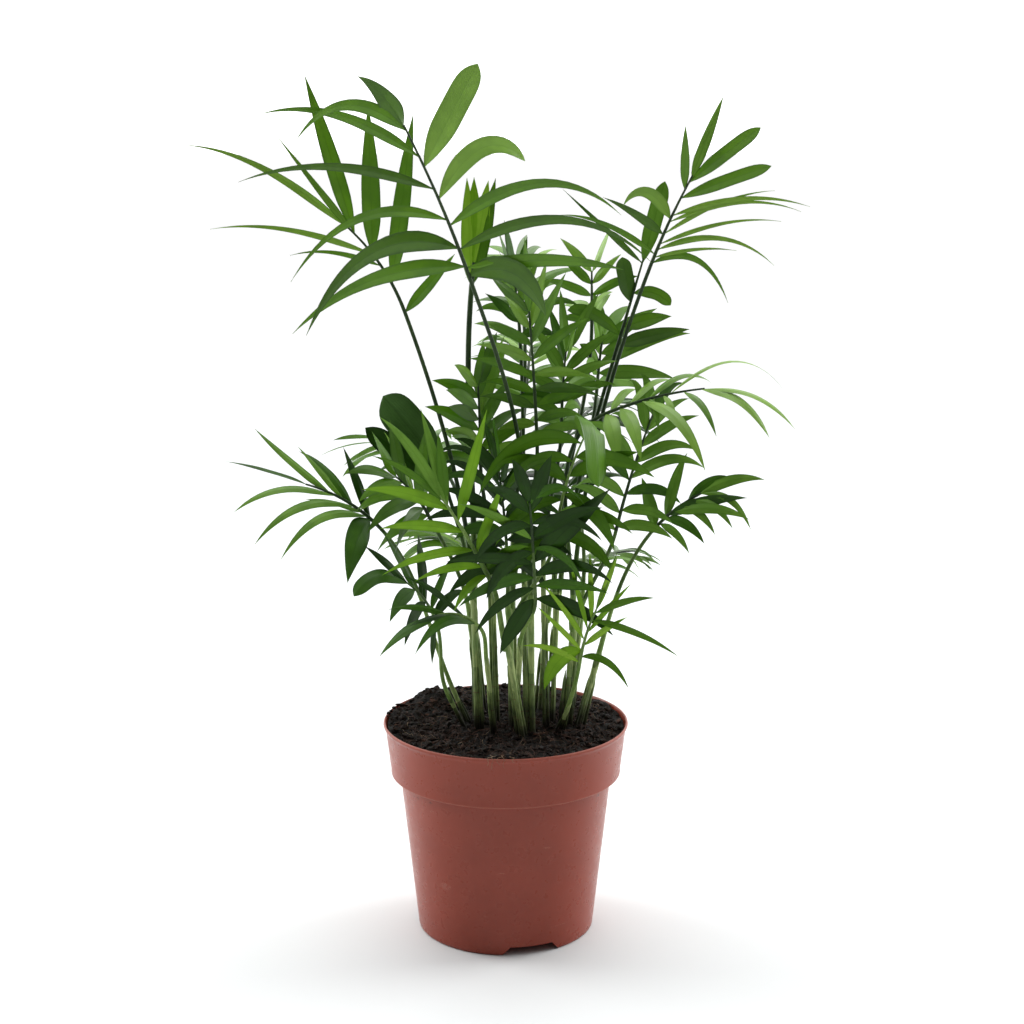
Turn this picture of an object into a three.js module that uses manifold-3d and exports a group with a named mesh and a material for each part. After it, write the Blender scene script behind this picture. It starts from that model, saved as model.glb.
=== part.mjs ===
// Potted parlour palm: a tuft of slim canes with arching feather fronds in a 12 cm nursery pot.
// Millimetres, +Z up, the front looks towards -Y. The origin is the centre of the pot's underside.

import * as THREE from 'three';
import { mergeVertices } from 'three/addons/utils/BufferGeometryUtils.js';
import Module from 'manifold-3d';

const wasm = await Module();
wasm.setup();

// ---------------------------------------------------------------- driving dimensions

const GAP = 0.3; // left between solids that touch on the real plant

const POT = {
  height: 105,
  rimRadius: 60,
  footRadius: 42.5,
  collarDepth: 25.5, // the wide band under the rim
  collarRadius: 56.2, // at the band's lower edge
  bodyRadius: 51.8, // just under the band
  shoulder: 1.2, // height of the step between body and band
  lip: 1.3, // width of the rim's top
  wall: 1.2,
  floor: 1.5,
  facets: 36,
};
const NOTCH = {
  bearings: [17, 137, 257], // degrees round from the front, towards +X
  footWidth: 29,
  roofWidth: 25,
  height: 4.5,
  innerRadius: 26,
  outerRadius: 48,
  drainRadius: 3.5,
  drainAt: 33,
};
const SOIL = {
  top: 103,
  rings: [12, 24, 33, 41, 49], // radii of the rings that its top is drawn with
  flatRadius: 41,
  edgeDrop: 2,
  mound: { at: [-34, 34], reach: 22, height: 4.2 }, // heaped up behind the canes
};
const STEM = {
  sides: 8,
  flare: 1.12, // growth in radius from the cane to flareHeight, and again to the foot
  flareHeight: 5,
};
const STALK = {
  footRadius: 1.1,
  neckRadius: 0.9,
  tipRadius: 0.5,
  steps: 5, // along the bare stalk, and again along the leafy part
  socketRadius: 1.45, // how far off the cane's axis a stalk sits where it shares the cane
  seat: 0.4, // clear height over the cane, as a stalk leans a little
  lean: 0.08, // outward share of its first direction
};
const LEAFLET = {
  thickness: 0.8,
  thicknessShare: 0.011, // of the leaflet's length, where that is more
  rootWidth: 0.7, // where it leaves the midrib
  rootThickness: 0.4,
  rootOffset: 0.2, // from the midrib's middle to the leaflet's own side
  // Where along it a leaflet bends: the longest, or most bent, bend at the most places.
  bends: [
    { length: 70, droop: 1.8, at: [0.26, 0.52, 0.79] },
    { length: 30, droop: 0.7, at: [0.35, 0.7] },
    { length: 0, droop: 0, at: [0.42] },
  ],
};
// What a leaflet tries in turn when it would touch a neighbour: [lift, spread, length share].
const SHIFTS = [
  [0, 0, 1], [12, 0, 1], [-12, 0, 1], [0, 9, 0.95], [0, -9, 0.95],
  [24, 0, 0.95], [-24, 0, 0.95], [36, 0, 0.85], [-36, 0, 0.85], [0, 0, 0.65],
];

// Canes: foot on the soil, [x, y], and top, [x, y, z], with the radius at the top.
const STEMS = {
  west_outer: { foot: [-19, 1], top: [-27, -1, 124], radius: 1.3 },
  west_front: { foot: [-20, -8], top: [-28, -12, 122], radius: 1.3 },
  west_tall: { foot: [-14, -10], top: [-15, -10, 165], radius: 1.7 },
  west_inner: { foot: [-11, -2], top: [-18, 0, 160], radius: 1.4 },
  west_back: { foot: [-14, 9], top: [-16, 9, 170], radius: 1.9 },
  centre_west: { foot: [-4, 3], top: [-7, 4, 190], radius: 1.6 },
  front_west: { foot: [-5, -17], top: [-9, -21, 140], radius: 1.3 },
  centre_front: { foot: [5, -13], top: [7, -24, 150], radius: 1.5 },
  centre: { foot: [3, -6], top: [2, -4, 160], radius: 1.9 },
  front: { foot: [8, -22], top: [1, -30, 152], radius: 1.7 },
  front_east: { foot: [13, -17], top: [12, -20, 165], radius: 1.8 },
  centre_pale: { foot: [10, 0], top: [9, 0, 175], radius: 1.8 },
  east_pale: { foot: [19, -8], top: [18, -8, 185], radius: 1.3 },
  east_front: { foot: [26, -15], top: [30, -20, 118], radius: 1.3 },
  east_inner: { foot: [23, 4], top: [25, 6, 168], radius: 1.7 },
  east: { foot: [29, -6], top: [33, -7, 155], radius: 2.0 },
  east_outer: { foot: [36, -3], top: [45, -3, 138], radius: 1.7 },
  back_west: { foot: [-12, 17], top: [-16, 24, 155], radius: 1.7 },
  back: { foot: [3, 13], top: [3, 19, 165], radius: 2.0 },
  back_east: { foot: [17, 19], top: [20, 27, 150], radius: 1.7 },
  back_outer: { foot: [31, 12], top: [37, 17, 150], radius: 1.7 },
};

// Ways a frond can face: the side that its upper surface looks to.
const FRONT = [0, -1, 0.3];
const FRONT_WEST = [-0.6, -0.8, 0.3];
const FRONT_EAST = [0.6, -0.8, 0.3];
const SKY = [0, -0.5, 1];
const SKY_WEST = [0.3, -0.6, 1];
const SKY_EAST = [-0.3, -0.5, 1];

// Fronds, the nearest and longest first, as later ones make room for earlier ones.
// look: the tone of its leaflets, plain leaf where none is given.
// neck, tip: where the leafy part starts and ends. arch: degrees that it bows up.
// pairs: leaflets on the left and the right, seen from above with the tip ahead. spread: their
// angle to the midrib. reach: their length. droop: how far they bend down. width: their width.
// Each list runs evenly from the neck to the tip, the left side first.
const FRONDS = [
  {
    name: 'west_high', stem: 'front_east',
    neck: [-16, -50, 327], tip: [-43, -72, 393], arch: 4, rise: 0.5, ease: 0.4,
    face: FRONT, pairs: [6, 6], width: [[10, 8.5, 5, 5, 5, 7], [8, 7, 9, 12, 13, 10]],
    spread: [[66, 78, 62, 44, 32, 36], [95, 88, 82, 70, 66, -8]],
    reach: [[70, 92, 84, 88, 80, 52], [62, 64, 80, 52, 48, 28]],
    droop: [[0.7, 2.4, 1.6, 0.7, 0.55, 1.4], [0.5, 0.8, 1.1, 1.1, 0.1, 0]],
  },
  {
    name: 'front_fresh', look: 'leaf_fresh', stem: 'front', socket: 210,
    neck: [-7, -42, 186], tip: [-29, -66, 231], arch: 4,
    face: FRONT, pairs: [7, 5], girth: 1.3, width: [[5.5, 6.5, 6.5], [6.5]],
    spread: [[104, 74, 66, 62, 50, 36, 22], [30, 24, 8]],
    reach: [[22, 54, 46, 43, 42, 46, 44], [50, 50, 44]],
    droop: [[1, 1.1, 0.7, 0.2, 0.3, 0.2, 0.2], [0.1, 0]],
  },
  {
    name: 'east_high', look: 'leaf_dark', stem: 'east', socket: 130,
    neck: [68, 8, 325], tip: [87, 0, 369], arch: 4,
    face: FRONT, pairs: [5, 7], width: [[5, 6, 6], [3.5, 3.5, 4, 5.5, 6.5, 6.5, 5.5]],
    spread: [[73, 84, 80, 45, 35], [62, 58, 52, 42, 35, 20, -10]],
    reach: [[50, 34, 36, 20, 32], [36, 55, 60, 64, 48, 42, 43]],
    droop: [[0.4, 0.3, 0.3, 0.1, 0], [0.8, 0.6, 0.45, 0.3, 0.1, 0.05, 0]],
  },
  {
    name: 'west_upright', stem: 'west_tall',
    neck: [-47, -6, 306], tip: [-70, -4, 340], arch: 14, ease: 0.2,
    face: FRONT, lift: 5, pairs: [4, 3], from: [0.6, 0.25], width: [[4, 4.5, 5], [9]],
    spread: [[36, 24, 2, -8], [38, 36, 27]], reach: [[36, 76, 86, 60], [84, 76, 80]],
    droop: [[0.5, 0.55, 0.5, 0], [0.05, 0, 0]],
  },
  {
    name: 'east_mid', stem: 'east', socket: 250,
    neck: [47, -12, 259], tip: [92, -26, 273], arch: 8,
    face: SKY_EAST, pairs: [6, 6], width: [[6, 5], [7, 6]],
    spread: [[60, 50, 20], [66, 55, 30]], reach: [[26, 30, 44], [48, 44, 50]],
    droop: [[1.2, 1.4, 1.4], [2.2, 1.7, 1.2]],
  },
  {
    name: 'west_mid', look: 'leaf_dark', stem: 'west_outer',
    neck: [-64, -14, 209], tip: [-93, -26, 228], arch: 12,
    face: SKY_WEST, pairs: [6, 5], width: [[4.5], [5]],
    spread: [[76, 66, 24], [60, 20]], reach: [[34, 60, 62, 42], [34, 42, 36]],
    droop: [[1.4, 1, 0.7], [0.7, 0.2]],
  },
  {
    name: 'east_low', look: 'leaf_dark', stem: 'east_outer',
    neck: [72, -2, 202], tip: [93, -8, 220], arch: 10,
    face: [-0.3, -0.8, 0.7], pairs: [6, 6], width: [[5], [5.5]],
    spread: [[50, 12], [64, 36]], reach: [[30, 38, 34], [26, 34, 36]], droop: [[0.4, 1.2], [1.2]],
  },
  {
    name: 'east_upright', look: 'leaf_dark', stem: 'east', socket: 10,
    neck: [53, -4, 201], tip: [70, -2, 257], arch: 4,
    face: [0.35, -0.9, 0.2], pairs: [6, 7], width: [[6.5], [6.5]],
    spread: [[65, 30], [65, 10]], reach: [[40, 44, 30], [30, 44, 30]],
    droop: [[1.2, 0.8], [1.2, 0.8]],
  },
  {
    name: 'front_hanging', look: 'leaf_fresh', stem: 'front', socket: 30,
    neck: [23, -40, 205], tip: [35, -58, 255], arch: 12,
    face: FRONT, pairs: [6, 6], width: [[8, 10], [7, 8]],
    spread: [[70, 40], [70, 40]], reach: [[34, 44, 46], [30, 40, 46]], droop: [[1.6, 3], [1.6, 3]],
  },
  {
    name: 'spear', look: 'leaf_fresh', stem: 'west_back', socket: 60,
    neck: [-16, 8, 317], tip: [-15, 9, 328], arch: 0,
    face: FRONT, lift: 0, pairs: [2, 2], girth: 1.4, width: [[8], [8]],
    spread: [[7, 4], [7, 4]], reach: [[52, 40], [52, 40]], droop: [[0], [0]],
  },
  {
    name: 'east_curled', stem: 'east_inner', socket: 30,
    neck: [64, 18, 321], tip: [66, 20, 329], arch: 0,
    face: FRONT, pairs: [2, 1], width: [[7], [10]],
    spread: [[105, 60], [-4]], reach: [[18, 30], [45]], droop: [[0.2, 0.8], [0.1]],
  },
  {
    name: 'west_broad', look: 'leaf_dark', stem: 'west_back', socket: 240,
    neck: [-28, 6, 218], tip: [-32, 8, 230], arch: 2,
    face: FRONT, pairs: [1, 1], width: [[10], [19]],
    spread: [[2], [-26]], reach: [[40], [44]], droop: [[0.3], [0.2]],
  },
  {
    name: 'west_inner', stem: 'west_inner',
    neck: [-37, -2, 208], tip: [-52, -8, 228], arch: 12,
    face: [0.3, -0.8, 0.7], pairs: [6, 6], width: [[7, 6], [7, 6]],
    spread: [[70, 30], [56, 20]], reach: [[40, 40, 34], [34, 38, 30]],
    droop: [[1.6, 0.8], [0.5, 0.2]],
  },
  {
    name: 'centre_west', stem: 'centre_west',
    neck: [-12, 4, 232], tip: [-13, 2, 270], arch: 2,
    face: FRONT_EAST, pairs: [6, 7], width: [[6.5], [6.5]],
    spread: [[66, 40], [60, 12]], reach: [[30, 34, 38], [34, 40, 38]],
    droop: [[0.5, 0.4], [0.6, 0.1]],
  },
  {
    name: 'centre_ladder', stem: 'centre', socket: 60,
    neck: [15, -6, 245], tip: [11, -12, 307], arch: 2,
    face: FRONT, pairs: [8, 9], width: [[6.5], [6.5]],
    spread: [[75, 70, 30], [75, 70, 12]], reach: [[26, 34, 30], [34, 44, 36]],
    droop: [[0.8, 0.5, 0.1], [0.7, 0.5, 0.1]],
  },
  {
    name: 'front_centre', stem: 'centre_front',
    neck: [14, -38, 176], tip: [11, -58, 226], arch: 8,
    face: FRONT, pairs: [7, 7], width: [[7], [7]],
    spread: [[70, 20], [70, 20]], reach: [[34, 44, 36], [34, 40, 34]],
    droop: [[1.2, 0.4], [1.2, 0.4]],
  },
  {
    name: 'front_low_east', look: 'leaf_fresh', stem: 'east_front',
    neck: [35, -34, 144], tip: [42, -44, 172], arch: 10,
    face: [-0.2, -0.9, 0.6], pairs: [5, 4], width: [[5.5], [5.5]],
    spread: [[60, 20], [75, 86, 84, 60]], reach: [[22, 26, 26], [30, 22, 34, 30]],
    droop: [[0.9, 0.4], [1.3, 0.3, 0.2, 0.1]],
  },
  {
    name: 'front_low_west', look: 'leaf_fresh', stem: 'front_west',
    neck: [-14, -37, 164], tip: [-31, -52, 172], arch: 20,
    face: SKY_WEST, pairs: [4, 3], width: [[5.5], [5.5]],
    spread: [[70, 20], [60, 20]], reach: [[34, 24, 22], [20, 24]], droop: [[1, 0.5], [0.8, 0.4]],
  },
  {
    name: 'west_low', look: 'leaf_dark', stem: 'west_front',
    neck: [-33, -20, 160], tip: [-46, -28, 181], arch: 16,
    face: SKY_WEST, pairs: [5, 5], width: [[5], [5]],
    spread: [[70, 20], [60, 20]], reach: [[20, 24, 20], [16, 20]], droop: [[1.2, 0.6], [0.8, 0.4]],
  },
  {
    name: 'centre_low', look: 'leaf_dark', stem: 'centre', socket: 240,
    neck: [1, -17, 188], tip: [-3, -27, 234], arch: 6,
    face: FRONT_WEST, pairs: [7, 6], width: [[7], [7]],
    spread: [[70, 20], [70, 20]], reach: [[34, 44, 36], [34, 40, 34]],
    droop: [[1.2, 0.4], [1.2, 0.4]],
  },
  {
    name: 'centre_second', look: 'leaf_dark', stem: 'east_pale',
    neck: [27, 12, 250], tip: [29, 14, 285], arch: 4,
    face: FRONT_WEST, pairs: [6, 6], width: [[6.5], [6.5]],
    spread: [[70, 20], [70, 20]], reach: [[30, 34, 30], [30, 40, 34]],
    droop: [[0.9, 0.3], [0.9, 0.3]],
  },
  {
    name: 'centre_top', look: 'leaf_dark', stem: 'centre_pale',
    neck: [7, 24, 290], tip: [4, 28, 320], arch: 4,
    face: FRONT_EAST, pairs: [5, 6], width: [[6.5], [6.5]],
    spread: [[60, 30], [60, 4]], reach: [[30, 28, 26], [30, 34, 38]],
    droop: [[0.5, 0.2], [0.8, 0.1]],
  },
  {
    name: 'centre_back', stem: 'east_inner', socket: 210,
    neck: [42, 32, 298], tip: [42, 38, 321], arch: 2,
    face: FRONT_WEST, pairs: [5, 5], width: [[6], [6]],
    spread: [[70, 30], [70, 30]], reach: [[24, 30, 26], [24, 30, 26]],
    droop: [[0.5, 0.2], [0.5, 0.2]],
  },
  {
    name: 'east_fill', look: 'leaf_dark', stem: 'back_east', socket: -40,
    neck: [45, 34, 266], tip: [48, 40, 290], arch: 6,
    face: FRONT_EAST, pairs: [4, 5], width: [[6.5], [7]],
    spread: [[60, 20], [68, 64, 30]], reach: [[20, 24, 22], [42, 50, 26]],
    droop: [[0.8, 0.4], [0.6, 0.3]],
  },
  {
    name: 'back_high', stem: 'back', socket: 95,
    neck: [10, 50, 258], tip: [14, 98, 282], arch: 14,
    face: SKY, pairs: [7, 7], width: [[7], [7]],
    spread: [[65, 20], [65, 20]], reach: [[46, 50, 40], [38, 46, 40]],
    droop: [[1.2, 0.7], [1.2, 0.7]],
  },
  {
    name: 'back_top', stem: 'back', socket: 275,
    neck: [9, 44, 296], tip: [6, 80, 324], arch: 12,
    face: SKY, pairs: [6, 6], width: [[7], [7]],
    spread: [[65, 20], [65, 20]], reach: [[36, 40, 34], [36, 40, 34]], droop: [[1, 0.5], [1, 0.5]],
  },
  {
    name: 'back_east', look: 'leaf_dark', stem: 'back_east', socket: 140,
    neck: [30, 54, 236], tip: [52, 100, 246], arch: 16,
    face: SKY_EAST, pairs: [7, 7], width: [[7], [7]],
    spread: [[65, 20], [65, 20]], reach: [[46, 56, 46], [46, 56, 46]],
    droop: [[1.2, 0.7], [1.2, 0.7]],
  },
  {
    name: 'back_west', stem: 'back_west', socket: 275,
    neck: [-32, 48, 222], tip: [-58, 90, 226], arch: 16,
    face: SKY_WEST, pairs: [7, 7], width: [[7], [7]],
    spread: [[65, 20], [65, 20]], reach: [[44, 54, 44], [44, 54, 44]],
    droop: [[1.2, 0.7], [1.2, 0.7]],
  },
  {
    name: 'back_mid', look: 'leaf_dark', stem: 'back_outer', socket: 260,
    neck: [34, 50, 206], tip: [20, 96, 212], arch: 16,
    face: SKY, pairs: [7, 7], width: [[7], [7]],
    spread: [[65, 20], [65, 20]], reach: [[42, 52, 42], [42, 52, 42]],
    droop: [[1.2, 0.7], [1.2, 0.7]],
  },
  {
    name: 'back_low_east', stem: 'back_outer', socket: 80,
    neck: [42, 44, 172], tip: [62, 78, 170], arch: 18,
    face: SKY_EAST, pairs: [7, 6], width: [[7], [7]],
    spread: [[65, 20], [65, 20]], reach: [[30, 36, 30], [30, 36, 30]],
    droop: [[1.2, 0.7], [1.2, 0.7]],
  },
  {
    name: 'back_low', look: 'leaf_fresh', stem: 'back_west', socket: 95,
    neck: [-20, 50, 178], tip: [-34, 92, 176], arch: 18,
    face: SKY_WEST, pairs: [7, 7], width: [[7], [7]],
    spread: [[65, 20], [65, 20]], reach: [[40, 48, 40], [40, 48, 40]],
    droop: [[1.2, 0.7], [1.2, 0.7]],
  },
];

const LOOKS = {
  pot: { color: 0x83483c, roughness: 0.5 },
  soil: { color: 0x24221c, roughness: 1 },
  cane: { color: 0x8ea06a, roughness: 0.6 },
  leaf: { color: 0x3f6b26, roughness: 0.5 },
  leaf_dark: { color: 0x1f4520, roughness: 0.45 },
  leaf_fresh: { color: 0x6a9a34, roughness: 0.5 },
};

// ---------------------------------------------------------------- small helpers

const UP = new THREE.Vector3(0, 0, 1);
const EAST = new THREE.Vector3(1, 0, 0);
const radians = THREE.MathUtils.degToRad;
const vec = (list) => new THREE.Vector3(...list);
const along = (point, direction, distance) => point.clone().addScaledVector(direction, distance);
const cross = (a, b) => new THREE.Vector3().crossVectors(a, b).normalize();

/** Value at share t of a list whose entries run evenly from 0 to 1. */
function ramp(list, t) {
  const place = t * (list.length - 1);
  const index = Math.min(Math.floor(place), Math.max(list.length - 2, 0));
  const next = Math.min(index + 1, list.length - 1);
  return THREE.MathUtils.lerp(list[index], list[next], place - index);
}

/** The part of vector a that stands square to unit vector b, as a unit vector. */
const squareTo = (a, b) => along(a, b, -a.dot(b)).normalize();

// ---------------------------------------------------------------- solids

/** A manifold-3d solid from a closed geometry. */
function solidOf(geometry) {
  const bare = new THREE.BufferGeometry();
  const source = geometry.index ? geometry.toNonIndexed() : geometry;
  bare.setAttribute('position', source.getAttribute('position').clone());
  const merged = mergeVertices(bare, 1e-3);
  const corners = merged.index.array;
  const kept = [];
  for (let i = 0; i < corners.length; i += 3) {
    const [a, b, c] = [corners[i], corners[i + 1], corners[i + 2]];
    if (a !== b && b !== c && c !== a) kept.push(a, b, c);
  }
  return new wasm.Manifold(new wasm.Mesh({
    numProp: 3,
    vertProperties: new Float32Array(merged.getAttribute('position').array),
    triVerts: new Uint32Array(kept),
  }));
}

/** A three.js geometry from a manifold-3d solid. */
function geometryOf(solid) {
  const mesh = solid.getMesh();
  const geometry = new THREE.BufferGeometry();
  geometry.setAttribute('position', new THREE.BufferAttribute(mesh.vertProperties, 3));
  geometry.setIndex(new THREE.BufferAttribute(mesh.triVerts, 1));
  geometry.computeVertexNormals();
  return geometry;
}

/** One solid from many. */
const joined = (solids) => solids.reduce((whole, next) => whole.add(next));

/** Closed geometry over sections of equally many points, each turning left round the way ahead. */
function loft(sections) {
  const points = [];
  const tri = (a, b, c) => points.push(a, b, c);
  const first = sections[0];
  const last = sections[sections.length - 1];
  for (let i = 1; i < first.length - 1; i += 1) tri(first[0], first[i + 1], first[i]);
  for (let s = 1; s < sections.length; s += 1) {
    const [near, far] = [sections[s - 1], sections[s]];
    for (let i = 0; i < near.length; i += 1) {
      const j = (i + 1) % near.length;
      tri(near[i], near[j], far[j % far.length]);
      if (far.length > 1) tri(near[i], far[j], far[i]);
      else points.splice(points.length - 1, 1, far[0]);
    }
  }
  for (let i = 1; i < last.length - 1; i += 1) tri(last[0], last[i], last[i + 1]);
  return new THREE.BufferGeometry().setFromPoints(points);
}

/** Points of a regular ring round a centre, turning left round the way ahead. */
function ring(centre, ahead, across, radius, sides) {
  const up = cross(ahead, across);
  return Array.from({ length: sides }, (_, i) => {
    const angle = (i / sides) * Math.PI * 2;
    return along(along(centre, across, Math.cos(angle) * radius), up, Math.sin(angle) * radius);
  });
}

// ---------------------------------------------------------------- pot and soil

/** Lathed geometry from [radius, height] points that start and end on the axis. */
function lathed(profile) {
  const outline = profile.map(([radius, height]) => new THREE.Vector2(radius, height));
  return new THREE.LatheGeometry(outline, POT.facets).rotateX(Math.PI / 2);
}

const turned = (profile) => solidOf(lathed(profile));

const COLLAR_FOOT = POT.height - POT.collarDepth;

/** The pot's outside, from the middle of its underside to the top of its lip. */
const POT_OUTSIDE = [
  [0, 0],
  [POT.footRadius, 0],
  [POT.footRadius + 0.8, 0.8],
  [POT.footRadius + 1, 3],
  [POT.bodyRadius, COLLAR_FOOT - POT.shoulder],
  [POT.collarRadius, COLLAR_FOOT],
  [POT.rimRadius - 0.8, POT.height - 1.6],
  [POT.rimRadius, POT.height - 1.2],
  [POT.rimRadius, POT.height],
];

/** The pot's inside, from the lip down to the middle of its floor, drawn in by a gap. */
function potInside(gap) {
  const inset = POT.wall + gap;
  const step = COLLAR_FOOT + inset;
  return [
    [POT.collarRadius - inset, step],
    [POT.bodyRadius - inset, step - POT.shoulder],
    [POT.footRadius - gap, 4 + gap],
    [POT.footRadius - 1 - gap, POT.floor + gap],
    [0, POT.floor + gap],
  ];
}

/** A drain channel from the pot's edge inwards, widened all round by a margin. */
function channel(bearing, margin) {
  const foot = NOTCH.footWidth / 2 + margin;
  const roof = NOTCH.roofWidth / 2 + margin;
  const shape = new THREE.Shape();
  shape.moveTo(-foot, -1);
  shape.lineTo(foot, -1);
  shape.lineTo(foot, 0);
  shape.lineTo(roof, NOTCH.height + margin);
  shape.lineTo(-roof, NOTCH.height + margin);
  shape.lineTo(-foot, 0);
  const depth = NOTCH.outerRadius - NOTCH.innerRadius + margin;
  const geometry = new THREE.ExtrudeGeometry(shape, { depth, bevelEnabled: false });
  geometry.rotateX(Math.PI / 2);
  geometry.translate(0, -NOTCH.innerRadius + margin, 0);
  return solidOf(geometry.rotateZ(radians(bearing)));
}

/** The hole through a channel's roof. */
function drainHole(bearing) {
  const hole = new THREE.CylinderGeometry(NOTCH.drainRadius, NOTCH.drainRadius, 8, 12);
  hole.rotateX(Math.PI / 2).translate(0, -NOTCH.drainAt, NOTCH.height);
  return solidOf(hole.rotateZ(radians(bearing)));
}

function buildPot() {
  const lip = [POT.rimRadius - POT.lip, POT.height];
  const outside = turned([...POT_OUTSIDE, [0, POT.height]]);
  const shell = turned([...POT_OUTSIDE, lip, ...potInside(0)]);
  const covers = NOTCH.bearings.map((bearing) => channel(bearing, POT.wall).intersect(outside));
  const cuts = NOTCH.bearings.map((bearing) => channel(bearing, 0).add(drainHole(bearing)));
  return shell.add(joined(covers)).subtract(joined(cuts));
}

/** How far the soil is heaped up over a place. */
function heaped(x, y) {
  const { at, reach, height } = SOIL.mound;
  const away = Math.min(Math.hypot(x - at[0], y - at[1]) / reach, 1);
  return height * Math.cos(away * Math.PI / 2) ** 2;
}

function buildSoil() {
  const edge = SOIL.top - SOIL.edgeDrop;
  const [wallFoot, step] = potInside(0)[0];
  const slope = (POT.rimRadius - POT.lip - wallFoot) / (POT.height - step);
  const edgeRadius = wallFoot - GAP + slope * (edge - step);
  const fall = SOIL.edgeDrop / (edgeRadius - SOIL.flatRadius);
  const profile = [
    [0, SOIL.top],
    ...SOIL.rings.map((radius) => [radius, SOIL.top - fall * Math.max(radius - SOIL.flatRadius, 0)]),
    [edgeRadius, edge],
    ...potInside(GAP),
  ];
  const geometry = lathed(profile.reverse());
  const places = geometry.getAttribute('position');
  for (let i = 0; i < places.count; i += 1) {
    const height = places.getZ(i);
    if (height > COLLAR_FOOT + GAP) places.setZ(i, height + heaped(places.getX(i), places.getY(i)));
  }
  const covers = NOTCH.bearings.map((bearing) => channel(bearing, POT.wall + GAP));
  return solidOf(geometry).subtract(joined(covers));
}

// ---------------------------------------------------------------- canes

/** A cane's foot on the soil, and the way that it grows. */
function rooted({ foot, top }) {
  const base = vec([...foot, SOIL.top]);
  return { base, axis: vec(top).sub(base).normalize() };
}

/** A cane that stands just clear of the soil and flares at its foot. */
function buildStem({ foot, top, radius }) {
  const head = vec(top);
  const { base, axis } = rooted({ foot, top });
  const across = cross(new THREE.Vector3(0, 1, 0), axis);
  const start = along(base, UP, GAP);
  const low = along(start, axis, STEM.flareHeight);
  const footRing = ring(start, UP, EAST, radius * STEM.flare * STEM.flare, STEM.sides);
  return solidOf(loft([
    footRing,
    ring(low, axis, across, radius * STEM.flare, STEM.sides),
    ring(head, axis, across, radius, STEM.sides),
  ]));
}

// ---------------------------------------------------------------- fronds

/** The stalk and midrib curves of a frond, with the way its upper side faces. */
function layOut(frond) {
  const { axis } = rooted(STEMS[frond.stem]);
  const start = along(vec(STEMS[frond.stem].top), axis, STALK.seat);
  const leave = axis.clone();
  if (frond.socket !== undefined) {
    const out = squareTo(EAST.clone().applyAxisAngle(UP, radians(frond.socket)), axis);
    start.addScaledVector(out, STALK.socketRadius);
    leave.addScaledVector(out, STALK.lean).normalize();
  }
  const neck = vec(frond.neck);
  const tip = vec(frond.tip);
  const face = vec(frond.face).normalize();
  const chord = tip.clone().sub(neck).normalize();
  const hinge = new THREE.Vector3().crossVectors(chord, UP);
  if (hinge.length() < 0.05) hinge.crossVectors(chord, face);
  hinge.normalize();
  const rising = chord.clone().applyAxisAngle(hinge, radians(frond.arch));
  const setting = chord.clone().applyAxisAngle(hinge, radians(-frond.arch));
  const stalkLength = neck.distanceTo(start);
  const bladeLength = tip.distanceTo(neck);
  const { rise = 0.35, ease = 0.35 } = frond;
  const stalk = new THREE.CubicBezierCurve3(
    start,
    along(start, leave, stalkLength * rise),
    along(neck, rising, -stalkLength * ease),
    neck,
  );
  const midrib = new THREE.CubicBezierCurve3(
    neck,
    along(neck, rising, bladeLength * 0.35),
    along(tip, setting, -bladeLength * 0.35),
    tip,
  );
  return { stalk, midrib, face };
}

/** The three-sided stalk and midrib of a frond as one solid. */
function buildRail({ stalk, midrib, face }, girth) {
  const sections = [];
  const add = (curve, t, radius) => {
    const ahead = curve.getTangent(t);
    const across = cross(ahead, face);
    sections.push(ring(curve.getPoint(t), ahead, across, radius * girth, 3));
  };
  for (let i = 0; i < STALK.steps; i += 1) {
    const t = i / STALK.steps;
    add(stalk, t, THREE.MathUtils.lerp(STALK.footRadius, STALK.neckRadius, t));
  }
  for (let i = 0; i <= STALK.steps; i += 1) {
    const t = i / STALK.steps;
    add(midrib, t, THREE.MathUtils.lerp(STALK.neckRadius, STALK.tipRadius, t));
  }
  return solidOf(loft(sections));
}

/** How wide a leaflet is at share a of its length, as a share of its full width. */
const outline = (a) => Math.sin(Math.PI * a ** 0.75) ** 0.8;

/** One leaflet as a solid, fattened all round by a margin. */
function buildLeaflet(leaf, margin) {
  const { root, ahead, midribWay, side, length, droop, width } = leaf;
  const bends = LEAFLET.bends.find((row) => length >= row.length || droop >= row.droop).at;
  const thickness = Math.max(LEAFLET.thickness, length * LEAFLET.thicknessShare);
  const sections = [];
  const place = (point, way, across, wide, thick) => {
    const half = wide / 2 + margin;
    const upper = cross(way, across).multiplyScalar(side);
    const base = along(point, upper, -margin);
    const edges = [along(base, across, half), along(base, across, -half)];
    const ridge = along(point, upper, thick + margin);
    sections.push(side > 0 ? [edges[0], ridge, edges[1]] : [edges[1], ridge, edges[0]]);
  };
  const steps = 24;
  const point = along(root, cross(midribWay, leaf.face), side * LEAFLET.rootOffset);
  let way = ahead;
  let across = squareTo(midribWay, ahead);
  place(point, ahead, across, LEAFLET.rootWidth, LEAFLET.rootThickness);
  for (let i = 1; i <= steps; i += 1) {
    const share = i / steps;
    way = along(ahead, UP, -droop * share ** 1.5).normalize();
    point.addScaledVector(way, length / steps);
    across = squareTo(across, way);
    const bend = bends.find((stop) => stop > (i - 1) / steps && stop <= share);
    if (bend !== undefined) place(point, way, across, width * outline(bend), thickness);
  }
  sections.push([along(point, way, margin * 3)]);
  return solidOf(loft(sections));
}

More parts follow.
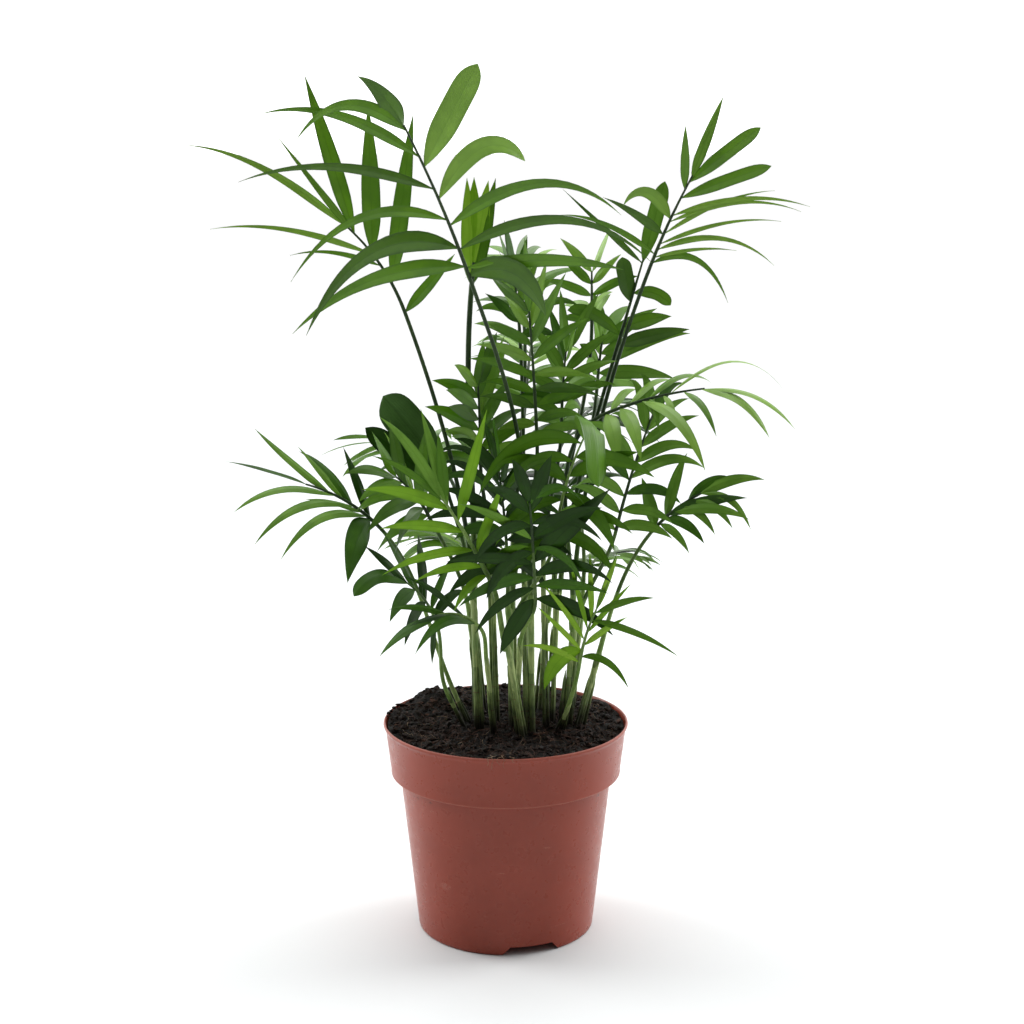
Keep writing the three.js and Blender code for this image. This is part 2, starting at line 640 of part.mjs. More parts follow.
/** The leaflets that a frond's row asks for, before they make room for neighbours. */
function listLeaflets(frond, { midrib, face }) {
  const leaves = [];
  [-1, 1].forEach((side, k) => {
    const count = frond.pairs[k];
    for (let i = 0; i < count; i += 1) {
      const share = count > 1 ? i / (count - 1) : 1;
      const stagger = side > 0 && share > 0 && share < 1 ? 0.2 / (count - 1) : 0;
      const { from = [0, 0] } = frond;
      const t = from[k] + (1 - from[k]) * (share ** 1.1 + stagger);
      leaves.push({
        side,
        root: midrib.getPoint(t),
        midribWay: midrib.getTangent(t),
        face,
        spread: ramp(frond.spread[k], share),
        lift: frond.lift ?? 10,
        length: ramp(frond.reach[k], share),
        droop: ramp(frond.droop[k], share),
        width: ramp(frond.width[k], share),
      });
    }
  });
  return leaves;
}

/** The leaflet after a shift [lift, spread, length share], with its way out worked out. */
function shifted(leaf, [lift, spread, share]) {
  const right = cross(leaf.midribWay, leaf.face);
  const upper = cross(right, leaf.midribWay);
  const angle = radians(leaf.spread + spread);
  const tilt = radians(leaf.lift + lift);
  const ahead = leaf.midribWay.clone().multiplyScalar(Math.cos(angle));
  ahead.addScaledVector(right, leaf.side * Math.sin(angle) * Math.cos(tilt));
  ahead.addScaledVector(upper, Math.sin(angle) * Math.sin(tilt));
  return { ...leaf, ahead: ahead.normalize(), length: leaf.length * share };
}

/** The box round a solid. */
function boxOf(solid) {
  const { min, max } = solid.boundingBox();
  return new THREE.Box3(vec(min), vec(max));
}

/** Whether a solid runs into any kept solid that belongs to another node. */
function clashes(solid, owner, kept) {
  const box = boxOf(solid);
  return kept.some((other) => {
    if (other.owner === owner || !other.box.intersectsBox(box)) return false;
    const common = solid.intersect(other.solid);
    const hit = !common.isEmpty();
    common.delete();
    return hit;
  });
}

// ---------------------------------------------------------------- the plant

/** Canes, stalks and leaflets, each leaflet put only where it clears what is already there. */
function growPlant() {
  const kept = [];
  const keep = (owner, solid) => kept.push({ owner, solid, box: boxOf(solid) });
  for (const [name, stem] of Object.entries(STEMS)) keep(`stem_${name}`, buildStem(stem));
  const plans = FRONDS.map((frond) => ({ frond, curves: layOut(frond) }));
  for (const { frond, curves } of plans) keep(`frond_${frond.name}`, buildRail(curves, frond.girth ?? 1));
  for (const { frond, curves } of plans) {
    const owner = `frond_${frond.name}`;
    for (const leaf of listLeaflets(frond, curves)) {
      const choice = SHIFTS.map((shift) => shifted(leaf, shift))
        .find((option) => !clashes(buildLeaflet(option, GAP), owner, kept));
      if (choice) keep(owner, buildLeaflet(choice, 0));
    }
  }
  return kept;
}

/** A named mesh in one of the looks. */
function meshOf(name, solid, look) {
  const material = new THREE.MeshStandardMaterial({ ...LOOKS[look], metalness: 0 });
  material.name = look;
  const mesh = new THREE.Mesh(geometryOf(solid), material);
  mesh.name = name;
  return mesh;
}

const group = new THREE.Group();
group.name = 'potted_parlour_palm';
group.add(meshOf('pot', buildPot(), 'pot'));
group.add(meshOf('soil', buildSoil(), 'soil'));

const grown = growPlant();
const addNode = (name, look) => {
  const pieces = grown.filter(({ owner }) => owner === name).map(({ solid }) => solid);
  group.add(meshOf(name, joined(pieces), look));
};
for (const name of Object.keys(STEMS)) addNode(`stem_${name}`, 'cane');
for (const { name, look = 'leaf' } of FRONDS) addNode(`frond_${name}`, look);

export default group;
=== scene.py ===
"""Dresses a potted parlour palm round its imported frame: plastic pot, peat, canes, stalks and leaflets.

Plans are in millimetres and degrees, as a grower would measure the plant; meshes are in metres.
"""

from __future__ import annotations

import logging
import math
import random
from collections.abc import Iterable, Sequence
from dataclasses import dataclass, field, replace
from enum import Enum

import bpy
import numpy as np
from mathutils import Matrix, Vector, noise
from mathutils.bvhtree import BVHTree


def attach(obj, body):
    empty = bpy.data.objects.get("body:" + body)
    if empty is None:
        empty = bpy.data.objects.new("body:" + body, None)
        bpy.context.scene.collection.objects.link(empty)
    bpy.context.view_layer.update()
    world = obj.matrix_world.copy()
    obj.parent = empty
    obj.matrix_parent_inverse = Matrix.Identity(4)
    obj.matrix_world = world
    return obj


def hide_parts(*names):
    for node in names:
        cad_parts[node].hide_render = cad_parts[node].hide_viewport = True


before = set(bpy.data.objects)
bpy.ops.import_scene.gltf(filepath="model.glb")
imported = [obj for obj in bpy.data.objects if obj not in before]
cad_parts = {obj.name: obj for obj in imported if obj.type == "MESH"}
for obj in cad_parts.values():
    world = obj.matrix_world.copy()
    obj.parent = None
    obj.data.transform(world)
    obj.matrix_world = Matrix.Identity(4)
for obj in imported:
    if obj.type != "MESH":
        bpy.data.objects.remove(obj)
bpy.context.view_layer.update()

LOG = logging.getLogger("palm")
MM = 0.001
UP = Vector((0.0, 0.0, 1.0))
EAST = Vector((1.0, 0.0, 0.0))
BODY = "root"
SOIL_TOP = 103.0

Point = tuple[float, float, float]
Colour = tuple[float, float, float]
Span = tuple[float, float]
Ramp = Sequence[float]
Sides = tuple[Ramp, Ramp]
Profile = Sequence[Span]
Face = tuple[int, ...]
Socket = bpy.types.NodeSocket


# ---------------------------------------------------------------- the grower's plans


class Tone(Enum):
    """How old a frond's leaflets look; the darker tone also paints the shade in the crown's core and at its
    back. The value is the record's material slot.
    """

    PLAIN = "leaf"
    DARK = "leaf_dark"
    FRESH = "leaf_fresh"


class Blade(Enum):
    """A leaflet's outline: the share of its length where it is full, where it narrows, and how bluntly."""

    POINTED = (0.3, 0.42, 1.7)
    SLENDER = (0.26, 0.3, 1.25)
    BLUNT = (0.42, 0.62, 4.5)

    def half_width(self, share: float) -> float:
        """Half the width, where the widest place has 1.

        Args:
            share: The share of the length, from 0 at the root.

        Returns:
            The half width there.
        """
        full, narrow, bluntness = self.value
        base = math.sin(math.pi / 2 * min(share / full, 1.0)) ** 0.8
        end = 1 - (max(share - narrow, 0.0) / (1 - narrow)) ** bluntness
        return base * max(end, 0.0)


Blades = tuple[Blade, ...]


@dataclass(frozen=True)
class CanePlan:
    """A cane's foot on the soil, seen from above, its top, and the radius there."""

    ground: Span
    top: Point
    radius: float

    @property
    def foot(self) -> Vector:
        """The foot's place."""
        return Vector((*self.ground, SOIL_TOP))

    @property
    def axis(self) -> Vector:
        """The way that the cane grows."""
        return (Vector(self.top) - self.foot).normalized()


@dataclass(frozen=True)
class FrondPlan:
    """Where a frond leaves its cane, where it goes and how its leaflets stand.

    The leafy part runs from neck to tip, bent by arch degrees, and its upper surface looks to face. Each
    list runs evenly along it, the left side first, where left is seen from above with the tip ahead: at
    holds the leaflets' places on the midrib, spread their angles from it, reach their lengths and droop
    how far they bend down. lift is how far they rise from the surface, and loose how unevenly they stand.
    tints holds letters for the leaflets in turn: a for the tone's own green, b for a deeper one that
    partly paints shade and c for a brighter one that partly paints light. socket is the bearing at which
    the stalk leaves the cane, rise and ease how long it keeps the way of the cane and then of the leafy
    part, and girth how thick it is.
    """

    name: str
    stem: str
    neck: Point
    tip: Point
    arch: float
    face: Point
    pairs: tuple[int, int]
    width: Sides
    spread: Sides
    reach: Sides
    droop: Sides
    socket: float | None = None
    rise: float = 0.35
    ease: float = 0.35
    lift: float = 10.0
    at: Sides = ((0.0, 1.0), (0.03, 1.0))
    girth: float = 1.0
    tone: Tone = Tone.PLAIN
    blades: tuple[Blades, Blades] = ((Blade.POINTED,), (Blade.POINTED,))
    loose: float = 1.0
    tints: tuple[str, str] = ("abbac", "baacb")
    pale_stalk: bool = False


# Ways a frond can face.
FRONT = (0, -1, 0.3)
FRONT_WEST = (-0.6, -0.8, 0.3)
FRONT_EAST = (0.6, -0.8, 0.3)
SKY = (0, -0.5, 1)
SKY_WEST = (0.3, -0.6, 1)
SKY_EAST = (-0.3, -0.5, 1)

# The blades of one side of a frond whose lower leaflets have thinned out.
THIN_THEN_BLUNT = (*(Blade.SLENDER,) * 7, Blade.BLUNT, Blade.BLUNT, Blade.POINTED)

# The tints of a frond that stands in the shade of the crown.
SHADED = ("bbab", "babb")


def both(*values: float) -> Sides:
    """The same list for the left and the right side of a frond."""
    return values, values


def full_frond(
    name: str, stem: str, neck: Point, tip: Point, face: Point, pairs: int, reach: Sides, socket: float,
    **more: object,
) -> FrondPlan:
    """Plans an evenly feathered frond, as they stand at the back of the crown.

    Args:
        name: The frond's name.
        stem: The cane that carries it.
        neck: Where its leafy part begins.
        tip: Where it ends.
        face: The way that its upper surface looks.
        pairs: How many leaflets each side has.
        reach: The lengths of the leaflets.
        socket: The bearing at which it leaves the cane.
        more: Any other field of the plan.

    Returns:
        The plan.
    """
    even = dict(arch=16, width=both(7), spread=both(65, 20), droop=both(1.2, 0.7))
    own = dict(face=face, pairs=(pairs, pairs), reach=reach, socket=socket)
    return FrondPlan(name, stem, neck, tip, **(even | own | more))


CANES: dict[str, CanePlan] = {
    "west_outer": CanePlan((-19, 1), (-27, -1, 124), 1.3),
    "west_front": CanePlan((-20, -8), (-28, -12, 122), 1.3),
    "west_tall": CanePlan((-14, -10), (-15, -10, 165), 1.7),
    "west_inner": CanePlan((-11, -2), (-18, 0, 160), 1.4),
    "west_back": CanePlan((-14, 9), (-16, 9, 170), 1.9),
    "centre_west": CanePlan((-4, 3), (-7, 4, 190), 1.6),
    "front_west": CanePlan((-5, -17), (-9, -21, 140), 1.3),
    "centre_front": CanePlan((5, -13), (7, -24, 150), 1.5),
    "centre": CanePlan((3, -6), (2, -4, 160), 1.9),
    "front": CanePlan((8, -22), (1, -30, 152), 1.7),
    "front_east": CanePlan((13, -17), (12, -20, 165), 1.8),
    "centre_pale": CanePlan((10, 0), (9, 0, 175), 1.8),
    "east_pale": CanePlan((19, -8), (18, -8, 185), 1.3),
    "east_front": CanePlan((26, -15), (30, -20, 118), 1.3),
    "east_inner": CanePlan((23, 4), (25, 6, 168), 1.7),
    "east": CanePlan((29, -6), (33, -7, 155), 2),
    "east_outer": CanePlan((36, -3), (45, -3, 138), 1.7),
    "back_west": CanePlan((-12, 17), (-16, 24, 155), 1.7),
    "back": CanePlan((3, 13), (3, 19, 165), 2),
    "back_east": CanePlan((17, 19), (20, 27, 150), 1.7),
    "back_outer": CanePlan((31, 12), (37, 17, 150), 1.7),
}

FRONDS: list[FrondPlan] = [
    FrondPlan(
        "west_high", "front_east", (-16, -50, 327), (-43, -72, 393), 4, FRONT, (7, 6),
        at=((0.06, 0.18, 0.37, 0.58, 0.8, 0.97, 1), (0, 0.05, 0.17, 0.33, 0.51, 0.73)),
        width=((8, 9.5, 5, 4.6, 5, 6, 9.5), (12, 6.5, 5.5, 6, 9, 11.5)),
        spread=((64, 49, 47, 44, 30, 23, 4), (84, 100, 80, 72, 50, 50)),
        reach=((86, 91, 84, 92, 77, 60, 32), (46, 70, 94, 84, 54, 52)),
        droop=((0.95, 2.2, 1.7, 0.65, 0.7, 1.6, 0.6), (2.6, 0.4, 1.3, 1.3, 1.4, 0.1)),
        rise=0.5, ease=0.4, loose=0.1, tints=("ababaab", "babacc"),
        blades=((Blade.SLENDER,), (Blade.POINTED, Blade.SLENDER, Blade.SLENDER, Blade.BLUNT)),
    ),
    FrondPlan(
        "front_fresh", "front", (-7, -42, 186), (-29, -66, 231), 4, FRONT, (8, 4),
        at=((0.05, 0.15, 0.34, 0.56, 0.83, 0.93, 0.95, 0.86), (0.1, 0.3, 0.68, 0.9)),
        width=((5, 4.5, 5, 5.5, 6, 3.5, 5, 5), (6, 5, 5.5, 5)),
        spread=((76, 52, 50, 38, 24, 8, -5, -14), (62, 38, 36, 20)),
        reach=((24, 36, 50, 47, 50, 50, 60, 54), (26, 40, 62, 40)),
        droop=((1.8, 0.6, 0.5, 0.35, 0.4, 0.4, 0.45, 0), (0.8, 0, 0, 0.1)),
        socket=210, girth=1.3, tone=Tone.FRESH, loose=0.15, tints=("aaaaabaa", "baab"), pale_stalk=True,
    ),
    FrondPlan(
        "east_high", "east", (68, 8, 325), (87, 0, 369), 4, FRONT, (4, 10),
        at=((0.15, 0.36, 0.53, 0.85), (0.06, 0.12, 0.2, 0.26, 0.37, 0.5, 0.57, 0.76, 0.93, 0.97)),
        width=((3, 4.6, 6, 4.2), (3.5, 2, 3, 2.2, 2.2, 2.5, 3, 6, 6.5, 5)),
        spread=((74, 74, 52, 28), (40, 54, 46, 44, 34, 42, 44, 40, 22, -8)),
        reach=((52, 35, 32, 30), (48, 40, 60, 60, 58, 64, 68, 46, 42, 40)),
        droop=((0.6, 0.3, 1.6, 0.1), (2.6, 0.4, 1.2, 0.5, 0.5, 0.7, 0.6, 0.1, 0.1, 0)),
        socket=130, loose=0.1, tints=("abca", "accccccaaa"),
        blades=((Blade.SLENDER, Blade.POINTED), THIN_THEN_BLUNT),
    ),
    FrondPlan(
        "west_upright", "west_tall", (-47, -6, 306), (-74, -4, 346), 14, FRONT, (4, 4),
        at=((0.5, 0.64, 0.92, 1), (0, 0.3, 0.64, 0.9)),
        width=((2.5, 3, 3.5, 4), (5.5, 8.2, 8.8, 7.6)),
        spread=((34, 32, -8, 2), (62, 37, 38, 28)),
        reach=((44, 78, 58, 88), (36, 80, 68, 76)),
        droop=((0.6, 0.5, 0, 0.6), (0, 0.05, 0, 0.05)),
        ease=0.2, lift=5, loose=0.1, tints=("acac", "aaaa"),
        blades=((Blade.SLENDER,), (Blade.POINTED,)),
    ),
    FrondPlan(
        "east_mid", "east", (47, -12, 259), (92, -26, 273), 8, SKY_EAST, (4, 8),
        at=((0.05, 0.25, 0.45, 0.67), (0, 0.15, 0.38, 0.46, 0.6, 0.8, 0.97, 1)),
        width=((6, 5, 4, 2.6), (8, 7, 6, 3.5, 3, 3.5, 5.5, 4)),
        spread=((60, 50, 40, 44), (70, 62, 40, 66, 60, 44, 20, 8)),
        reach=((30, 36, 36, 74), (34, 40, 58, 20, 22, 34, 44, 50)),
        droop=((1.4, 1.2, 1.2, 1.6), (2, 1.6, 1.6, 2, 2, 1.6, 1.6, 1.2)),
        socket=250, loose=0.2, tints=("ccac", "cccaca"),
    ),
    FrondPlan(
        "west_mid", "west_outer", (-64, -14, 209), (-93, -26, 228), 12, SKY_WEST, (6, 4),
        at=((0, 0.05, 0.14, 0.28, 0.57, 0.98), (0, 0.3, 0.45, 0.66)),
        width=((12.5, 4.6, 3.2, 4.6, 4.6, 3.6), (6, 6, 4, 4.5)),
        spread=((66, 38, 24, 32, 16, -12), (40, 32, 26, 18)),
        reach=((44, 68, 36, 70, 58, 42), (38, 38, 34, 48)),
        droop=((1.7, 1.2, 0.3, 1.1, 0.9, 0.2), (0.2, 0.6, 0.1, -0.2)),
        tone=Tone.DARK, loose=0.15, tints=("accccc", "bacc"),
    ),
    FrondPlan(
        "east_low", "east_outer", (72, -2, 202), (93, -8, 220), 10, (-0.3, -0.8, 0.7), (5, 6),
        at=((0, 0.25, 0.3, 0.75, 1), (0.1, 0.25, 0.4, 0.6, 0.8, 1)),
        width=((7, 6, 6, 5, 5.5), (4, 5, 5.5, 4, 4, 3.5)),
        spread=((60, 36, -20, 16, 0), (60, 48, 30, 50, 40, 24)),
        reach=((26, 34, 42, 26, 32), (24, 28, 44, 26, 30, 34)),
        droop=((0.3, 0.6, 0.4, 1, 0.7), (1.1, 1.2, 0.6, 1.3, 1.3, 2.2)),
        tone=Tone.DARK, loose=0.2, tints=("cccac", "cacccc"),
    ),
    FrondPlan(
        "east_upright", "east", (53, -4, 201), (70, -2, 257), 4, (0.35, -0.9, 0.2), (8, 8),
        width=both(5.5), spread=((65, 30), (65, 10)), reach=((40, 44, 30), (30, 44, 30)),
        droop=both(1.2, 0.8), socket=10, tone=Tone.DARK, tints=("cccac", "ccacc"),
    ),
    FrondPlan(
        "front_hanging", "front", (23, -40, 205), (35, -58, 255), 12, FRONT, (6, 6),
        at=((0, 0.16, 0.36, 0.55, 0.75, 0.95), (0.05, 0.22, 0.42, 0.6, 0.8, 1)),
        width=((7, 6, 7, 8, 7, 9), (7, 6, 8, 7, 8, 16)),
        spread=((120, 84, 100, 60, 84, 92), (84, 66, 90, 40, 56, -12)),
        reach=((36, 34, 40, 38, 44, 58), (34, 38, 36, 40, 42, 46)),
        droop=((1, 1.4, 2, 1, 2.4, 2.4), (1.6, 1, 2, 0.3, 0.7, 5)),
        socket=30, tone=Tone.FRESH, loose=0.15, tints=("b", "b"), pale_stalk=True,
        blades=((Blade.POINTED,), (*(Blade.POINTED,) * 5, Blade.BLUNT)),
    ),
    FrondPlan(
        "spear", "west_back", (-16, 8, 317), (-15, 9, 328), 0, FRONT, (2, 2),
        width=both(8), spread=both(7, 4), reach=both(52, 40), droop=both(0),
        socket=60, lift=0, girth=1.4, tone=Tone.FRESH, loose=0.1, tints=("ca", "bc"),
    ),
    FrondPlan(
        "east_curled", "east_inner", (54, 16, 288), (66, 20, 329), 0, FRONT, (3, 4),
        at=((0.1, 0.5, 0.95), (0, 0.2, 0.6, 0.96)), width=((6, 8, 3), (7, 7, 6, 8)),
        spread=((60, 28, 64), (58, 54, 60, -2)), reach=((30, 22, 52), (36, 24, 20, 40)),
        droop=((0.9, 0, 0), (0.2, 0.3, 1.4, 0)), socket=30, loose=0.1,
        blades=((Blade.BLUNT, Blade.BLUNT, Blade.SLENDER), (Blade.POINTED, Blade.BLUNT)),
    ),
    FrondPlan(
        "west_broad", "west_back", (-28, 6, 218), (-32, 8, 230), 2, FRONT, (1, 1),
        at=((0,), (1,)), width=((11,), (19,)), spread=((32,), (-18,)), reach=((50,), (44,)),
        droop=((0.1,), (0.2,)), socket=240, tone=Tone.DARK, loose=0.2, tints=("b", "a"),
        blades=((Blade.BLUNT,), (Blade.BLUNT,)),
    ),
    FrondPlan(
        "west_inner", "west_inner", (-37, -2, 208), (-52, -8, 228), 12, (0.3, -0.8, 0.7), (7, 7),
        width=both(7, 6), spread=((70, 30), (56, 20)), reach=((40, 40, 34), (34, 38, 30)),
        droop=((1.6, 0.8), (0.5, 0.2)),
    ),
    FrondPlan(
        "centre_west", "centre_west", (-12, 4, 232), (-13, 2, 270), 2, FRONT_EAST, (8, 8),
        width=both(6.5), spread=((66, 40), (60, 12)), reach=((30, 34, 38), (34, 40, 38)),
        droop=((0.5, 0.4), (0.6, 0.1)), tints=("aacab", "cabac"),
    ),
    FrondPlan(
        "centre_ladder", "centre", (15, -6, 245), (11, -12, 307), 2, FRONT, (9, 9),
        width=both(5.2), spread=((75, 70, 30), (75, 70, 12)), reach=((26, 34, 30), (34, 44, 36)),
        droop=((0.8, 0.5, 0.1), (0.7, 0.5, 0.1)), socket=60, tints=("acbaac", "caabcaa"),
    ),
    FrondPlan(
        "front_centre", "centre_front", (14, -38, 176), (11, -58, 226), 8, FRONT, (9, 9),
        at=((0, 0.1, 0.2, 0.34, 0.46, 0.6, 0.74, 0.88, 1), (0, 0.12, 0.22, 0.36, 0.5, 0.62, 0.76, 0.9, 0.98)),
        width=((9, 6, 7, 6, 8, 5, 7, 6, 6), (8, 6, 7, 10, 5, 8, 6, 7, 6)),
        spread=((140, 100, 78, 60, 92, 44, 70, 26, 6), (102, 80, 60, 36, 84, 50, 66, 20, 38)),
        reach=((34, 36, 42, 46, 34, 44, 36, 40, 34), (42, 38, 42, 58, 34, 44, 38, 40, 36)),
        droop=((0.6, 1.4, 0.8, 0.4, 2.2, 0.4, 1.8, 0.7, 0.5), (0.9, 0.5, 1.2, 0.1, 2, 0.5, 1.4, 0.3, 1.4)),
        tone=Tone.DARK, loose=0.3, tints=("bbabbcb", "babbabb"),
    ),
    FrondPlan(
        "front_low_east", "east_front", (35, -34, 144), (42, -44, 172), 10, (-0.2, -0.9, 0.6), (7, 6),
        at=((0.2, 0, 0.2, 0.4, 0.6, 0.8, 1), (0.1, 0.3, 0.55, 0.8, 0.95, 1)),
        width=((8, 3.5, 2.6, 3, 2.6, 3, 3), (4, 3, 2.6, 3.8, 3.4, 3)),
        spread=((112, 66, 50, 42, 30, 20, 6), (64, 34, 18, 58, 30, -8)),
        reach=((30, 30, 34, 36, 40, 38, 36), (32, 34, 42, 54, 48, 36)),
        droop=((3.4, 0.6, 0.1, 0.3, 0.1, 0.2, 0), (1.8, 0.2, 0.1, 0.4, 0.3, 0.1)),
        tone=Tone.FRESH, loose=0.2, tints=("acccacc", "bcabbc"), pale_stalk=True,
    ),
    FrondPlan(
        "front_low_west", "front_west", (-14, -37, 164), (-31, -52, 172), 20, SKY_WEST, (3, 2),
        at=((0, 0.45, 1), (0.3, 0.8)), width=((5.5, 3.8, 5.5), (5, 4)), spread=((22, 20, 6), (30, 22)),
        reach=((60, 44, 40), (38, 30)), droop=((1.1, 0.3, 0.7), (0.5, 0.5)),
        tone=Tone.DARK, loose=0.15, tints=("aba", "ba"), pale_stalk=True,
    ),
    FrondPlan(
        "west_low", "west_front", (-33, -20, 160), (-46, -28, 181), 16, SKY_WEST, (4, 6),
        at=((0, 0.45, 0.8, 1), (0.1, 0.25, 0.45, 0.6, 0.8, 1)),
        width=((6, 6, 7, 8.5), (6, 5, 7, 5, 6, 5)),
        spread=((130, 66, 50, 4), (76, 60, 44, 62, 34, 14)),
        reach=((22, 34, 36, 34), (26, 30, 34, 24, 32, 30)),
        droop=((1, 1.2, 0.8, 1.5), (0.8, 0.5, 0.3, 1.4, 0.4, 0.2)),
        tone=Tone.DARK, loose=0.2, tints=("bbaa", "bab"),
        blades=((*(Blade.POINTED,) * 3, Blade.BLUNT), (Blade.POINTED,)),
    ),
    FrondPlan(
        "centre_low", "centre", (1, -17, 188), (-3, -27, 234), 6, FRONT_WEST, (11, 10),
        width=((8, 6, 7, 5, 7), (6, 8, 5, 7)),
        spread=((110, 70, 90, 46, 72, 34, 54, 20, 6), (92, 60, 84, 40, 66, 26, 44, 8)),
        reach=((38, 42, 34, 46, 38, 44, 34), (34, 42, 36, 44, 34)),
        droop=((0.8, 1.6, 0.6, 1.3, 0.4), (1.2, 0.5, 1.6, 0.6, 0.2)),
        socket=240, tone=Tone.DARK, loose=0.7, tints=("bbba", "babb"),
    ),
    FrondPlan(
        "centre_second", "east_pale", (27, 12, 250), (29, 14, 285), 4, FRONT_WEST, (8, 8),
        width=both(5.4), spread=both(70, 20), reach=((30, 34, 30), (30, 40, 34)),
        droop=both(0.9, 0.3), tone=Tone.DARK, tints=("ccac", "ccc"),
    ),
    FrondPlan(
        "centre_top", "centre_pale", (7, 24, 290), (4, 28, 320), 4, FRONT_EAST, (5, 5),
        width=both(5), spread=((60, 30), (60, 4)), reach=((30, 28, 26), (30, 34, 38)),
        droop=((0.5, 0.2), (0.8, 0.1)), tone=Tone.DARK, tints=("cac", "acc"),
    ),
    FrondPlan(
        "centre_back", "east_inner", (42, 32, 298), (42, 38, 321), 2, FRONT_WEST, (5, 5),
        width=both(4.6), spread=both(70, 30), reach=both(24, 30, 26),
        droop=both(0.5, 0.2), socket=210, tints=("aca", "cca"),
    ),
    FrondPlan(
        "east_fill", "back_east", (45, 34, 266), (48, 40, 290), 6, FRONT_EAST, (6, 6),
        width=((6.5,), (7,)), spread=((60, 20), (68, 64, 30)), reach=((20, 24, 22), (42, 50, 26)),
        droop=((0.8, 0.4), (0.6, 0.3)), socket=-40, tone=Tone.DARK, tints=("cc", "ccc"),
    ),
    full_frond(
        "back_high", "back", (10, 50, 258), (14, 98, 282), SKY, 9, ((46, 50, 40), (38, 46, 40)), 95,
        arch=14, width=both(5.4),
    ),
    full_frond(
        "back_top", "back", (9, 44, 296), (6, 80, 324), SKY, 6, both(36, 40, 34), 275,
        arch=12, width=both(5), droop=both(1, 0.5),
    ),
    full_frond(
        "back_east", "back_east", (30, 54, 236), (52, 100, 246), SKY_EAST, 9, both(46, 56, 46), 140,
        tone=Tone.DARK, tints=SHADED,
    ),
    full_frond(
        "back_west", "back_west", (-32, 48, 222), (-58, 90, 226), SKY_WEST, 9, both(44, 54, 44), 275,
        tints=SHADED,
    ),
    full_frond(
        "back_mid", "back_outer", (34, 50, 206), (20, 96, 212), SKY, 12, both(42, 52, 42), 260,
        tone=Tone.DARK, tints=SHADED,
    ),
    full_frond(
        "back_low_east", "back_outer", (42, 44, 172), (62, 78, 170), SKY_EAST, 10, both(30, 36, 30), 80,
        arch=18, tints=SHADED,
    ),
    full_frond(
        "back_low", "back_west", (-20, 50, 178), (-34, 92, 176), SKY_WEST, 12, both(40, 48, 40), 95,
        arch=18, tone=Tone.FRESH, tints=SHADED, pale_stalk=True,
    ),
]

# What a leaflet tries in turn when it would touch a neighbour: lift, spread, length share.
SHIFTS = (
    (0, 0, 1), (12, 0, 1), (-12, 0, 1), (0, 9, 0.95), (0, -9, 0.95),
    (24, 0, 0.95), (-24, 0, 0.95), (36, 0, 0.85), (-36, 0, 0.85), (0, 0, 0.65),
)


# ---------------------------------------------------------------- small helpers


def ramp(values: Ramp, share: float) -> float:
    """Reads a list whose entries run evenly from 0 to 1.

    Args:
        values: The entries.
        share: Where to read, from 0 to 1.

    Returns:
        The value there.
    """
    return float(np.interp(share, np.linspace(0, 1, len(values)), values)) if len(values) > 1 else values[0]


def square_to(vector: Vector, way: Vector) -> Vector:
    """The part of a vector that stands square to a unit vector, at length 1."""
    return (vector - way * vector.dot(way)).normalized()


def mm(point: Sequence[float]) -> Vector:
    """A point given in millimetres, in metres."""
    return Vector(point) * MM


def heading(bearing: float) -> Vector:
    """The level unit vector at a bearing in degrees, counted from +X towards +Y."""
    return Matrix.Rotation(math.radians(bearing), 3, "Z") @ EAST


def smooth_step(low: float, high: float, value: float) -> float:
    """0 below low, 1 above high, and an even curve between."""
    share = min(max((value - low) / (high - low), 0.0), 1.0)
    return share * share * (3 - 2 * share)


def ring_faces(rows: int, sides: int) -> list[Face]:
    """The four-sided faces between rings of vertices that follow each other.

    Args:
        rows: How many rows of faces there are, one less than rings.
        sides: How many vertices a ring has.

    Returns:
        The faces, row by row.
    """
    return [
        (row + k, row + (k + 1) % sides, row + sides + (k + 1) % sides, row + sides + k)
        for row in range(0, rows * sides, sides)
        for k in range(sides)
    ]


@dataclass(frozen=True)
class Bezier:
    """A cubic curve through its first and last points."""

    first: Vector
    second: Vector
    third: Vector
    last: Vector

    def point(self, t: float) -> Vector:
        """The point at share t."""
        u = 1 - t
        bends = self.second * (3 * u * u * t), self.third * (3 * u * t * t)
        return self.first * u**3 + bends[0] + bends[1] + self.last * t**3

    def way(self, t: float) -> Vector:
        """The curve's direction.

        Args:
            t: The share of the curve, from 0 to 1.

        Returns:
            The unit tangent there.
        """
        u = 1 - t
        start = (self.second - self.first) * (u * u)
        middle = (self.third - self.second) * (2 * u * t)
        end = (self.last - self.third) * (t * t)
        return (start + middle + end).normalized()


